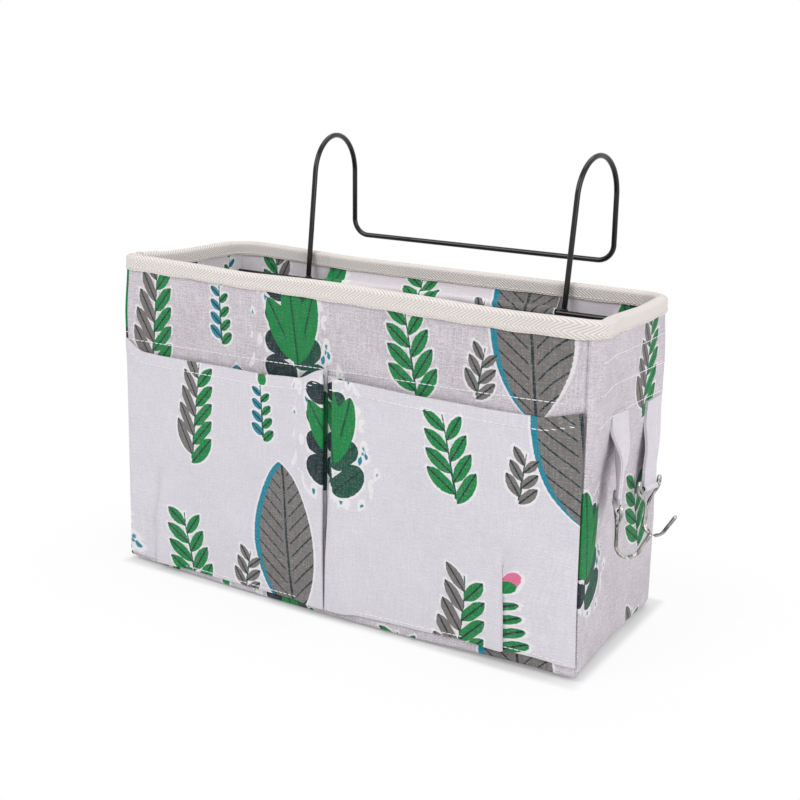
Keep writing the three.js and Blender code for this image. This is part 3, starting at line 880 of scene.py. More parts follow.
@dataclass
class RailRack:
    """Black dipped wire rack: a straight bar in the sleeve and one bent wire welded on it."""

    bar: Vector = field(default_factory=lambda: Vector((0.0013, 0.0497473, 0.1787)))
    radius: float = 0.00175
    bar_ends: Pair = (-0.1557, 0.1487)
    leg_spacing: float = 0.192
    foot_radii: float = 1.86
    bar_drop: float = 0.0213
    lean: float = math.radians(8.5)
    splay: float = math.radians(3.6)
    arch_radius: float = 0.027
    arch_rise: float = 0.0727
    arch_tilt: float = 0.0135
    back_bar_rise: float = 0.002
    bend_radius: float = 0.011
    bead_offset: Pair = (0.0005, 0.0021)
    bead_scale: tuple[float, float, float] = (1.42, 1.12, 0.62)
    end_rounding: float = 0.45
    sides: int = 24

    def wire_line(self) -> list[Vector]:
        """Middle line of the bent wire, from one leg's foot to the other's."""
        x = -self.leg_spacing / 2
        top = self.bar_drop + self.arch_rise
        foot = self.foot_radii * self.radius
        front = top * math.tan(self.lean)
        quarter = math.pi / 4
        back = front + self.arch_radius * (math.tan(quarter - self.lean / 2) + math.tan(quarter))
        low = self.bar_drop + self.back_bar_rise
        sine, cosine = math.sin(self.splay), math.cos(self.splay)
        half = []
        for reach, height, radius in (
            (foot * math.sin(self.lean), foot * math.cos(self.lean), 0.0),
            (front, top, self.arch_radius),
            (back, top, self.arch_radius),
            (back, low, self.bend_radius),
        ):
            half.append((Vector((x - reach * sine, reach * cosine, height)), radius))
        line = []
        for point in bent_line(mirrored(half, 0), 5.0):
            point.z -= point.x * self.arch_tilt * smooth(point.z / top)
            line.append(self.bar + point)
        return line

    def weld(self, x: float) -> Piece:
        """Bead of weld between a leg's foot and the bar, dipped over."""
        deselect()
        at = self.bar + Vector((x, *self.bead_offset))
        bpy.ops.mesh.primitive_uv_sphere_add(segments=20, ring_count=12, radius=self.radius, location=at)
        bead = bpy.context.object
        bead.scale = self.bead_scale
        bpy.ops.object.transform_apply(location=True, rotation=True, scale=True)
        return bead

    def rounded(self, name: str, line: Sequence[Vector]) -> Piece:
        """Wire along a line, its cut ends rounded where the coat has run over them."""
        piece = tube(name, line, self.radius, self.sides)
        bevel = piece.modifiers.new("rounded ends", "BEVEL")
        bevel.width = self.radius * self.end_rounding
        bevel.segments = 4
        bevel.limit_method = "ANGLE"
        bevel.angle_limit = math.radians(60)
        apply_all(piece)
        return piece

    def build(self) -> list[Piece]:
        """The bar and the bent wire with its welds."""
        line = [self.bar + Vector((mix(*self.bar_ends, i / 40), 0, 0)) for i in range(41)]
        bar = self.rounded("rail_bar", line)
        wire = self.rounded("rail_wire", self.wire_line())
        beads = [self.weld(side * self.leg_spacing / 2) for side in (-1, 1)]
        make_active(wire)
        for bead in beads:
            bead.select_set(True)
        bpy.ops.object.join()
        wire.name = wire.data.name = "rail_wire"
        bpy.ops.object.shade_smooth_by_angle(angle=SMOOTH_CLOTH)
        stand_for(bar, "rack", "rack_bar")
        stand_for(wire, "rack", "rack_wire")
        return [bar, wire]


@dataclass
class WireHook:
    """Hook of one bright wire with its bar in the strap's fold: X outward, Y along the bar, Z up."""

    name: str
    bar: Vector
    turn: float
    tilt: float
    radius: float = 0.00095
    twin: float = 0.0012
    ear_gap: float = 0.0148
    ear_width: float = 0.0034
    ear_rise: float = 0.0046
    shoulder_drop: float = 0.001
    neck_drop: float = 0.0095
    depth: float = 0.0280
    bowl_radius: float = 0.0067
    tip_reach: float = 0.0182
    tip_rise: float = 0.0134
    tip_angle: float = math.radians(60)
    butt_gap: float = 0.0003
    sides: int = 16

    def matrix(self) -> Matrix:
        """Where the hook hangs."""
        turned = Matrix.Rotation(math.radians(self.turn), 4, "Z") @ Matrix.Rotation(math.radians(-self.tilt), 4, "X")
        return Matrix.Translation(self.bar) @ turned

    def build(self) -> Piece:
        """The hook."""
        gap, width, twin, depth = self.ear_gap, self.ear_width, self.twin, self.depth
        corners = (
            (0, self.butt_gap / 2, 0, 0.0),
            (0, gap, 0, width / 2),
            (0, gap, self.ear_rise, width / 2),
            (0, gap + width, self.ear_rise, width / 2),
            (0, gap + width, -self.shoulder_drop, width),
            (0, twin, -self.neck_drop, 2 * width),
            (0, twin, -depth, self.bowl_radius),
            (self.tip_reach - self.tip_rise / math.tan(self.tip_angle), twin, -depth, self.bowl_radius),
            (self.tip_reach, twin, -depth + self.tip_rise, twin),
        )
        half = [(Vector(at), radius) for *at, radius in corners]
        line = [self.matrix() @ point for point in bent_line(mirrored(half, 1), 9.0)]
        piece = tube(f"wire_hook_{self.name}", line, self.radius, self.sides)
        stand_for(piece, f"{self.name}_hook", f"hook_{self.name}")
        return piece


@dataclass
class Strap:
    """Doubled canvas strap from the end wall's seam to its fold round the hook's bar.

    Slide is how far the fold lies along the bar from its middle; bow, cup and twist are how the middle
    of the strap stands off, curls across and turns; top_x is where the strap leaves the wall.
    """

    name: str
    seam: Vector
    hook: WireHook
    slide: float
    bow: float
    cup: float
    twist: float
    top_x: float
    sewn: float = 0.0010
    width: float = 0.022
    foot_width: float = 0.0195
    cloth: float = 0.0008
    layer_gap: float = 0.0001
    loop_clearance: float = 0.00045
    bend_share: float = 1 / 3
    blend_from: float = 0.0005
    blend_to: float = 0.009
    drawn_length: float = 0.05
    steps: int = 30
    across: int = 14

    def line(self) -> tuple[list[Vector], Vector, Vector]:
        """Points of the middle line from the seam to the fold, the fold's centre and the bar's direction."""
        matrix = self.hook.matrix()
        bar = (matrix.to_3x3() @ Vector((0, 1, 0))).normalized()
        fold = self.hook.bar + bar * self.slide
        reach_vector = fold - self.seam
        pull = (reach_vector - bar * reach_vector.dot(bar)).normalized()
        reach = reach_vector.length * self.bend_share
        p0 = Vector((self.top_x, self.seam.y, self.seam.z + self.sewn))
        p1, p2 = p0 + Vector((0, 0, -reach - self.sewn)), fold - pull * reach
        points = []
        for i in range(self.steps + 1):
            t = i / self.steps
            points.append(p0 * (1 - t) ** 3 + p1 * 3 * t * (1 - t) ** 2 + p2 * 3 * t * t * (1 - t) + fold * t**3)
        return points, fold, bar

    def build(self) -> Piece:
        """The strap, from the bag's seam to its fold round the hook's bar."""
        points, fold, bar = self.line()
        loop = self.hook.radius + self.loop_clearance + self.cloth / 2
        half = (self.cloth + self.layer_gap) / 2
        body = [i / (self.steps - 2) * (1 - 2.6 / self.steps) for i in range(self.steps - 1)]
        neck = math.asin(half / loop)
        turns = [mix(math.pi - neck, -math.pi + neck, i / 16) for i in range(17)]
        rows = [*((t, half) for t in body), *((2 + i, turn) for i, turn in enumerate(turns))]
        rows += [(t, -half) for t in reversed(body)]
        seam_across = Vector((0, 1, 0))
        tangent_end = (points[-1] - points[-2]).normalized()

        def frame(t: float) -> tuple[Vector, Vector, Vector]:
            at = t * self.steps
            index = min(int(at), self.steps - 1)
            point = points[index].lerp(points[index + 1], at - index)
            tangent = (points[min(index + 2, self.steps)] - points[max(index - 1, 0)]).normalized()
            across = seam_across.lerp(bar, smooth(t))
            across = (across - tangent * across.dot(tangent)).normalized()
            return point, across, -across.cross(tangent)

        def place(column: int, row: int) -> Placed:
            side = 2 * column / self.across - 1
            t, offset = rows[row]
            if t >= 2:
                out = -bar.cross(tangent_end)
                centre, across = fold, bar
                shift = tangent_end * (loop * math.cos(offset)) + out * (loop * math.sin(offset))
                width, cup, run = self.foot_width, 0.0, 1.0
            else:
                centre, across, out = frame(t)
                shift = out * offset
                width, run = mix(self.width, self.foot_width, smooth(t)), t
                middle = math.sin(math.pi * min(t / 0.95, 1))
                cup = self.cup * (side * side - 0.35) * middle
                cup += self.twist * side * math.sin(2.2 * math.pi * t) * middle
                cup += self.bow * middle + 0.0005 * math.sin(side * 3 + t * 9) * middle
            along = run * self.drawn_length if offset > 0 or t >= 2 else -run * self.drawn_length
            return centre + across * (side * width / 2) + shift + out * cup, (side * width / 2, along)

        piece = cloth_grid(f"strap_cloth_{self.name}", self.across, len(rows) - 1, place, self.cloth)
        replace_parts(piece, f"strap_{self.name}")
        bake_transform(piece)
        return piece


@dataclass
class Stitching:
    """Rows of thread, each stitch a small copied bead of thread."""

    form: BoxForm
    length: float = 0.0033
    gap: float = 0.00025
    thread: float = 0.00030
    dip: float = 0.00012
    on_cloth: float = 0.0001
    above_bands: Pair = (0.0011, 0.0012)
    below_mouth: float = 0.0068
    pocket_run: Pair = (0.004, 0.155)
    pocket_reach: float = 0.006
    high_run: Pair = (-0.157, 0.151)
    foot_run: Pair = (-0.157, 0.157)
    foot_out: float = 0.0015
    above_foot: float = 0.0021
    end_margin: float = 0.003
    line_above: Table = ((-0.158, 0.1485), (0.0, 0.1512), (0.151, 0.1540))
    end_rows: tuple[tuple[float, str], ...] = ((0.178, "high"), (0.160, "middle"), (0.1425, "low"))

    def bead(self) -> bpy.types.Mesh:
        """One stitch: a flattened spindle that dips at both ends."""
        deselect()
        bpy.ops.mesh.primitive_uv_sphere_add(segments=6, ring_count=6, radius=1.0)
        piece = bpy.context.object
        for vertex in piece.data.vertices:
            x, y, z = vertex.co
            dip = self.dip * (1 - 2 * z * z)
            vertex.co = Vector((z * self.length / 2, y * self.thread, x * self.thread * 0.8 + dip))
        mesh = piece.data.copy()
        mesh.name = "stitch"
        bpy.data.objects.remove(piece)
        return mesh

    def row(self, name: str, frames: Sequence[Matrix]) -> Piece:
        """One row of stitches, with a frame per stitch: X along the row and Z outward."""
        bead = self.bead()
        built = bmesh.new()
        for frame in frames:
            copy = bead.copy()
            copy.transform(frame)
            built.from_mesh(copy)
            bpy.data.meshes.remove(copy)
        mesh = bpy.data.meshes.new(name)
        built.to_mesh(mesh)
        built.free()
        piece = bpy.data.objects.new(name, mesh)
        bpy.context.scene.collection.objects.link(piece)
        make_active(piece)
        bpy.ops.object.shade_smooth()
        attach(piece, "bag")
        return piece

    def steps(self, start: float, end: float) -> list[float]:
        """Middles of the stitches between two walks."""
        pitch = self.length + self.gap
        return [start + pitch * (i + 0.5) for i in range(int((end - start) / pitch))]

    def build(self, rim: RimBinding, pockets: Sequence[FrontPocket]) -> list[Piece]:
        """All rows that hold the tape, the pockets and the end wall.

        Args:
            rim: the tape, for where its bands lie.
            pockets: the pockets, for their mouths.

        Returns:
            The rows.
        """
        form = self.form
        outer = rim.outer_inset - rim.thickness / 2 - self.on_cloth
        turned = Matrix.Rotation(math.pi, 4, "X")
        outside, inside = [], []
        for w in self.steps(0, form.around):
            inner = rim.inner_inset + rim.over_sleeve(w) + rim.thickness / 2 + self.on_cloth
            outside.append(form.frame_at(w, outer, rim.foot_at(w) + self.above_bands[0]))
            inside.append(form.frame_at(w, inner, rim.inner_foot + self.above_bands[1]) @ turned)
        rows = [self.row("stitches_rim_outside", outside), self.row("stitches_rim_inside", inside)]
        rows += [self.pocket_hem(pocket) for pocket in pockets]
        above = [form.frame_at(w, -self.on_cloth, self.above(w)) for w in self.steps(*self.high_run)]
        rows.append(self.row("stitches_front_high", above))
        foot = []
        for w in self.steps(*self.foot_run):
            foot.append(form.frame_at(w, -self.foot_out, eased_line(pockets[0].foot_line, w) + self.above_foot))
        rows.append(self.row("stitches_front_foot", foot))
        walks = self.steps(form.corners[0] + self.end_margin, form.corners[1] - self.end_margin)
        for height, name in self.end_rows:
            rows.append(self.row(f"stitches_end_{name}", [form.frame_at(w, -self.on_cloth, height) for w in walks]))
        return rows

    def above(self, x: float) -> float:
        """Height of the stitch line that runs over the front above the pockets."""
        (x0, z0), (x1, z1), (x2, z2) = self.line_above
        return mix(z0, z1, (x - x0) / (x1 - x0)) if x < x1 else mix(z1, z2, (x - x1) / (x2 - x1))

    def pocket_hem(self, pocket: FrontPocket) -> Piece:
        """Row of stitches under a pocket's mouth."""
        frames = []
        for x in self.steps(*self.pocket_run):
            z = eased_line(pocket.mouth, pocket.side * x) - self.below_mouth
            along = self.form.pocket_seam(pocket.side, z) - x
            near = sorted(pocket.section(z), key=lambda p: abs(p[0] - along))[:3]
            standoff = max(p[1] for p in near if abs(p[0] - along) < self.pocket_reach)
            off = -(standoff + pocket.cloth / 2 + pocket.hem_step)
            frames.append(self.form.frame_at(pocket.side * x, off, z))
        return self.row(f"stitches_pocket_{pocket.name}", frames)


# --- Node graphs -------------------------------------------------------------------------------------

Colour = tuple[float, float, float, float]
Spot = tuple[float, float, float]
Source = object
Socket = bpy.types.NodeSocket
Tree = bpy.types.NodeTree
ORIGIN = (0.0, 0.0, 0.0)


def ink(red: int, green: int, blue: int) -> Colour:
    """Linear colour of a screen colour given as 0 to 255."""
    linear = ((c / 255 / 12.92 if c < 11 else ((c / 255 + 0.055) / 1.055) ** 2.4) for c in (red, green, blue))
    return (*linear, 1.0)


def operation(name: str, swapped: bool = False) -> Callable[..., Signal]:
    """Method of Signal that adds one math node, with the signal first or, swapped, last."""

    def method(self: Signal, *others: Source) -> Signal:
        return self.graph.math(name, *((*others, self) if swapped else (self, *others)))

    return method


class Signal:
    """Output of a node, which takes part in sums as a number does."""

    __add__, __radd__ = operation("ADD"), operation("ADD", True)
    __sub__, __rsub__ = operation("SUBTRACT"), operation("SUBTRACT", True)
    __mul__, __rmul__ = operation("MULTIPLY"), operation("MULTIPLY", True)
    __truediv__, __abs__ = operation("DIVIDE"), operation("ABSOLUTE")
    max, min, power, modulo, pingpong = map(operation, ("MAXIMUM", "MINIMUM", "POWER", "FLOORED_MODULO", "PINGPONG"))
    sin, cos, sign, floor, round, fraction = map(operation, ("SINE", "COSINE", "SIGN", "FLOOR", "ROUND", "FRACT"))

    def __init__(self, graph: Graph, socket: Socket) -> None:
        """Args: graph: the tree's graph. socket: the output."""
        self.graph, self.socket = graph, socket

    def step(self, low: Source, high: Source, start: float = 0.0, end: float = 1.0) -> Signal:
        """Soft step from start to end while the signal goes from low to high."""
        node = self.graph.add("ShaderNodeMapRange", interpolation_type="SMOOTHSTEP")
        sources = {"Value": self, "From Min": low, "From Max": high, "To Min": start, "To Max": end}
        return self.graph.fed(node, sources, "Result")


class Graph:
    """Adds and links the nodes of one tree."""

    def __init__(self, tree: Tree) -> None:
        """Args: tree: the tree that gets the nodes."""
        self.tree = tree

    def add(self, kind: str, **settings: object) -> bpy.types.Node:
        """New node with its settings."""
        node = self.tree.nodes.new(kind)
        for key, value in settings.items():
            setattr(node, key, value)
        return node

    def feed(self, socket: Socket, source: Source) -> None:
        """Links an output into a socket, or sets its value."""
        if isinstance(source, Signal):
            source = source.socket
        if isinstance(source, Socket):
            self.tree.links.new(source, socket)
        else:
            socket.default_value = source

    def fed(self, node: bpy.types.Node, sources: dict[int | str, Source], output: int | str = 0) -> Signal:
        """Output of a node whose inputs get their sources by label or number."""
        for label, source in sources.items():
            self.feed(node.inputs[label], source)
        return Signal(self, node.outputs[output])

    def named(self, node: bpy.types.Node) -> dict[str, Signal]:
        """A node's outputs by label."""
        return {output.name: Signal(self, output) for output in node.outputs}

    def math(self, name: str, *sources: Source, clamp: bool = False) -> Signal:
        """Number from numbers."""
        return self.fed(self.add("ShaderNodeMath", operation=name, use_clamp=clamp), dict(enumerate(sources)))

    def vector(self, name: str, *sources: Source) -> Signal:
        """Vector from vectors; SCALE takes the factor second, and LENGTH gives a number."""
        node = self.add("ShaderNodeVectorMath", operation=name)
        labels = (0, "Scale") if name == "SCALE" else (0, 1)
        return self.fed(node, dict(zip(labels, sources)), "Value" if name == "LENGTH" else "Vector")

    def split(self, vector: Source) -> list[Signal]:
        """The three parts of a vector."""
        node = self.add("ShaderNodeSeparateXYZ")
        self.feed(node.inputs[0], vector)
        return [Signal(self, output) for output in node.outputs]

    def combine(self, *parts: Source) -> Signal:
        """Vector of two or three numbers."""
        return self.fed(self.add("ShaderNodeCombineXYZ"), dict(enumerate(parts)))

    def noise(self, vector: Source, scale: float, detail: float = 2.0) -> Signal:
        """Cloudy noise between 0 and 1."""
        sources = {"Vector": vector, "Scale": scale, "Detail": detail}
        return self.fed(self.add("ShaderNodeTexNoise"), sources, "Fac")

    def mixed(self, share: Source, first: Source, second: Source) -> Signal:
        """Colour between two colours."""
        return self.fed(self.add("ShaderNodeMix", data_type="RGBA"), {0: share, 6: first, 7: second}, 2)

    def own_place(self) -> Signal:
        """Place in the object's own axes."""
        return self.named(self.add("ShaderNodeTexCoord"))["Object"]

    def use(self, tree: Tree, **sources: Source) -> dict[str, Signal]:
        """Outputs of a node group by label."""
        node = self.add("ShaderNodeGroup", node_tree=tree)
        self.fed(node, sources)
        return self.named(node)


# --- Studio ------------------------------------------------------------------------------------------


@dataclass
class Studio:
    """Camera at the photograph's viewing angle, pale floor and soft lamps."""

    target: Vector = field(default_factory=lambda: Vector((0.01071, 0.0, 0.12167)))
    distance: float = 0.81113
    yaw: float = math.radians(31.54)
    pitch: float = math.radians(16.10)
    roll: float = math.radians(0.53)
    focal_pixels: float = 1294.25
    frame_pixels: float = 800.0
    sensor: float = 36.0
    floor_level: float = -0.0034
    floor_radius: float = 14.0
    footprint: tuple[float, float] = (0.164, 0.066)
    world_light: float = 0.54
    lamps: tuple[tuple[str, Spot, float, float], ...] = (
        ("key", (-0.9, -1.5, 1.7), 1.3, 21.0),
        ("fill", (1.7, -0.5, 0.9), 1.2, 14.0),
        ("top", (0.1, 0.5, 1.9), 1.4, 9.5),
    )

    def camera(self) -> None:
        """Places the camera."""
        level = math.cos(self.pitch)
        back = Vector((math.sin(self.yaw) * level, -math.cos(self.yaw) * level, math.sin(self.pitch)))
        right = Vector((math.cos(self.yaw), math.sin(self.yaw), 0))
        up = back.cross(right)
        turned = right * math.cos(self.roll) + up * math.sin(self.roll)
        upright = -right * math.sin(self.roll) + up * math.cos(self.roll)
        data = bpy.data.cameras.new("camera")
        data.sensor_width = self.sensor
        data.lens = self.focal_pixels / self.frame_pixels * self.sensor
        data.clip_start = 0.01
        camera = bpy.data.objects.new("camera", data)
        matrix = Matrix((turned, upright, back)).transposed().to_4x4()
        matrix.translation = self.target + back * self.distance
        camera.matrix_world = matrix
        bpy.context.scene.collection.objects.link(camera)
        bpy.context.scene.camera = camera

    def lamp(self, name: str, place: Spot, size: float, power: float) -> None:
        """A square soft lamp that faces the object."""
        data = bpy.data.lights.new(name, "AREA")
        data.shape = "SQUARE"
        data.size = size
        data.energy = power
        lamp = bpy.data.objects.new(name, data)
        lamp.location = place
        lamp.rotation_euler = (self.target - lamp.location).to_track_quat("-Z", "Y").to_euler()
        bpy.context.scene.collection.objects.link(lamp)

    def build(self) -> None:
        """Camera, world, lamps and floor."""
        scene = bpy.context.scene
        scene.view_settings.view_transform = "Standard"
        self.camera()
        scene.world = bpy.data.worlds.new("studio")
        scene.world.use_nodes = True
        graph = Graph(scene.world.node_tree)
        background = graph.tree.nodes["Background"]
        background.inputs["Color"].default_value = (1, 1, 1, 1)
        sources = {"Value": self.seen(graph), "To Min": self.world_light, "To Max": 1.0}
        graph.feed(background.inputs["Strength"], graph.fed(graph.add("ShaderNodeMapRange"), sources, "Result"))
        for lamp in self.lamps:
            self.lamp(*lamp)
        deselect()
        place = (0, 0, self.floor_level)
        bpy.ops.mesh.primitive_circle_add(vertices=64, radius=self.floor_radius, fill_type="NGON", location=place)
        floor = bpy.context.object
        floor.name = "floor"
        floor.data.materials.append(self.floor_material())
        floor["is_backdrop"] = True

    @staticmethod
    def seen(graph: Graph) -> Signal:
        """Mask that is 1 where the background itself is looked at, also in metal or through glass."""
        path = graph.named(graph.add("ShaderNodeLightPath"))
        return path["Is Camera Ray"].max(path["Is Glossy Ray"]).max(path["Is Transmission Ray"])

    def floor_material(self) -> bpy.types.Material:
        """White sweep that keeps the object's shadow and is plain white further off."""
        material = bpy.data.materials.new("white_sweep")
        material.use_nodes = True
        graph = Graph(material.node_tree)
        graph.tree.nodes.clear()
        diffuse = graph.fed(graph.add("ShaderNodeBsdfDiffuse"), {"Color": (0.86, 0.86, 0.86, 1)})
        glow = graph.fed(graph.add("ShaderNodeEmission"), {"Color": (1, 1, 1, 1)})
        place = graph.split(graph.own_place())
        outside = ((abs(axis) - half).max(0.0) for axis, half in zip(place, self.footprint))
        away = graph.vector("LENGTH", graph.combine(*outside))
        white = away.step(-0.001, 0.006, 0.15, 0.90) + away.step(0.01, 0.12, 0.0, 0.10)
        blend = graph.fed(graph.add("ShaderNodeMixShader"), {0: self.seen(graph) * white, 1: diffuse, 2: glow})
        graph.feed(graph.add("ShaderNodeOutputMaterial").inputs["Surface"], blend)
        return material


# --- Leaf print --------------------------------------------------------------------------------------


class Motif(Enum):
    """Inks of the leaf print."""

    GREEN = ink(0, 128, 62)
    DEEP = ink(6, 74, 56)
    DARK = ink(14, 40, 46)
    GREY = ink(116, 111, 109)
    TEAL = ink(8, 130, 152)
    PINK = ink(222, 110, 148)


class LeafPrint:
    """Shapes of one tile of the print, in millimetres, each laid over the ones before."""

    def __init__(self, graph: Graph, tile: Signal, leaf: Tree, sprig: Tree) -> None:
        """Lays all the shapes.

        Args:
            graph: the print's graph.
            tile: point in the tile.
            leaf: group of one leaf.
            sprig: group of a stem with leaves.
        """
        self.graph, self.tile, self.leaf, self.sprig = graph, tile, leaf, sprig
        self.layers: list[tuple[Signal, Source, float]] = []
        teal, dark, green, deep, grey = Motif.TEAL, Motif.DARK, Motif.GREEN, Motif.DEEP, Motif.GREY
        self.broad_leaf((116.0, 10.0, 0.0), 0.10, 98.0, 22.0)
        self.branch((34.0, 98.0, 0.0), -0.12, grey, green, (12.5, 5.0, 0.62, 25.0, 5.4, 0.35))
        stem = self.branch((150.0, 102.0, 0.0), 0.16, dark, deep, (16.0, 4.0, 1.02, 25.0, 9.0, 0.4), 0.5)
        self.splashes(stem)
        self.fan((150.0, 116.0, 0.0), 0.16)
        self.branch((42.0, 14.0, 0.0), 0.2, green, green, (12.0, 4.0, 0.75, 23.0, 4.8, 0.3))
        self.branch((80.0, 20.0, 0.0), -0.15, grey, grey, (9.0, 3.0, 0.7, 15.0, 3.4, 0.3))
        self.branch((92.0, 122.0, 0.0), 0.05, teal, green, (8.0, 4.0, 0.9, 10.5, 2.9, 0.3), 0.55)
        self.bud((92.0, 157.0, 0.0), 0.05)

    def outline(self) -> Signal:
        """Signed distance from the nearest shape."""
        nearest = self.layers[0][0]
        for distance, _, _ in self.layers[1:]:
            nearest = nearest.min(distance)
        return nearest

    def lay(self, distance: Signal, paint: Source, open_share: float) -> None:
        """Adds a shape.

        Args:
            distance: signed distance from its outline.
            paint: its colour.
            open_share: how much of the cloth shows through its ink.
        """
        self.layers.append((distance, paint, open_share))

    def blade(self, base: Spot, turn: float, length: float, width: float, power: float) -> dict[str, Signal]:
        """A leaf from its stalk, turned from upright; power says how pointed it is."""
        sizes = {"Base": base, "Turn": turn, "Length": length, "Width": width, "Power": power}
        return self.graph.use(self.leaf, Point=self.tile, **sizes)

    def branch(
        self, base: Spot, turn: float, left: Motif, right: Motif, sizes: Sequence[float], power: float = 0.8
    ) -> Signal:
        """A sprig whose leaves are one colour on the left and one on the right.

        Args:
            base: foot of the stem.
            turn: turn from upright, in radians.
            left: colour of the leaves on the left.
            right: colour of the leaves on the right.
            sizes: distance between leaves, leaves on a side, their lean, length and half width, and the taper.
            power: how pointed a leaf is.

        Returns:
            The distance from its leaves.
        """
        labelled = dict(zip(("Pitch", "Count", "Lean", "Length", "Width", "Taper"), sizes))
        out = self.graph.use(self.sprig, Point=self.tile, Base=base, Turn=turn, Power=power, **labelled)
        sided = self.graph.mixed(out["Side"].step(-0.5, 0.5), left.value, right.value)
        ribbed = self.graph.mixed(out["Rib"].step(0.7, 0.3), sided, Motif.DARK.value)
        self.lay(out["Stem"], Motif.DEEP.value, 0.1)
        self.lay(out["Leaves"], ribbed, 0.22)
        return out["Leaves"]

    def splashes(self, near: Signal) -> None:
        """Teal drops scattered round a motif."""
        pitch = 0.16
        x, y, _ = self.graph.split(self.tile)
        cells = self.graph.add("ShaderNodeTexVoronoi", feature="F1")
        distance = self.graph.fed(cells, {"Vector": self.graph.combine(x, y * 0.55), "Scale": pitch}, "Distance")
        band = (2.4 - near).max(near - 8.5)
        self.lay((distance / pitch - 1.7).max(band), Motif.TEAL.value, 0.2)

    def fan(self, base: Spot, turn: float) -> None:
        """Three broad leaves that spread from one point."""
        for lean, length in ((-0.42, 42.0), (0.42, 42.0), (0.0, 52.0)):
            out = self.blade(base, turn + lean, length, 8.0, 0.7)
            rib = abs(out["Across"]).step(0.8, 0.5)
            self.lay(out["Distance"], self.graph.mixed(rib, Motif.GREEN.value, Motif.DEEP.value), 0.15)

    def broad_leaf(self, base: Spot, turn: float, length: float, width: float) -> None:
        """A broad grey leaf with teal edge and dark veins."""
        back = self.blade((base[0] - 2.6, base[1] + 1.5, 0.0), turn, length, width, 0.75)
        self.lay(back["Distance"], Motif.TEAL.value, 0.22)
        out = self.blade(base, turn, length, width - 1.5, 0.75)
        reach = abs(out["Across"])
        wave = abs(((out["Along"] - reach * 0.9) / 8.5).fraction() - 0.5)
        vein = wave.step(0.10, 0.05) * reach.step(2.2, 3.2)
        veined = self.graph.mixed(vein.max(reach.step(1.1, 0.6)), Motif.GREY.value, Motif.DARK.value)
        self.lay(out["Distance"], veined, 0.42)

    def bud(self, base: Spot, turn: float) -> None:
        """A small pink bud with a green cup."""
        self.lay(self.blade(base, turn, 11.0, 3.4, 0.5)["Distance"], Motif.PINK.value, 0.2)
        cup = self.blade((base[0], base[1] - 3.0, 0.0), turn, 8.0, 3.2, 0.6)
        self.lay(cup["Distance"], Motif.GREEN.value, 0.2)


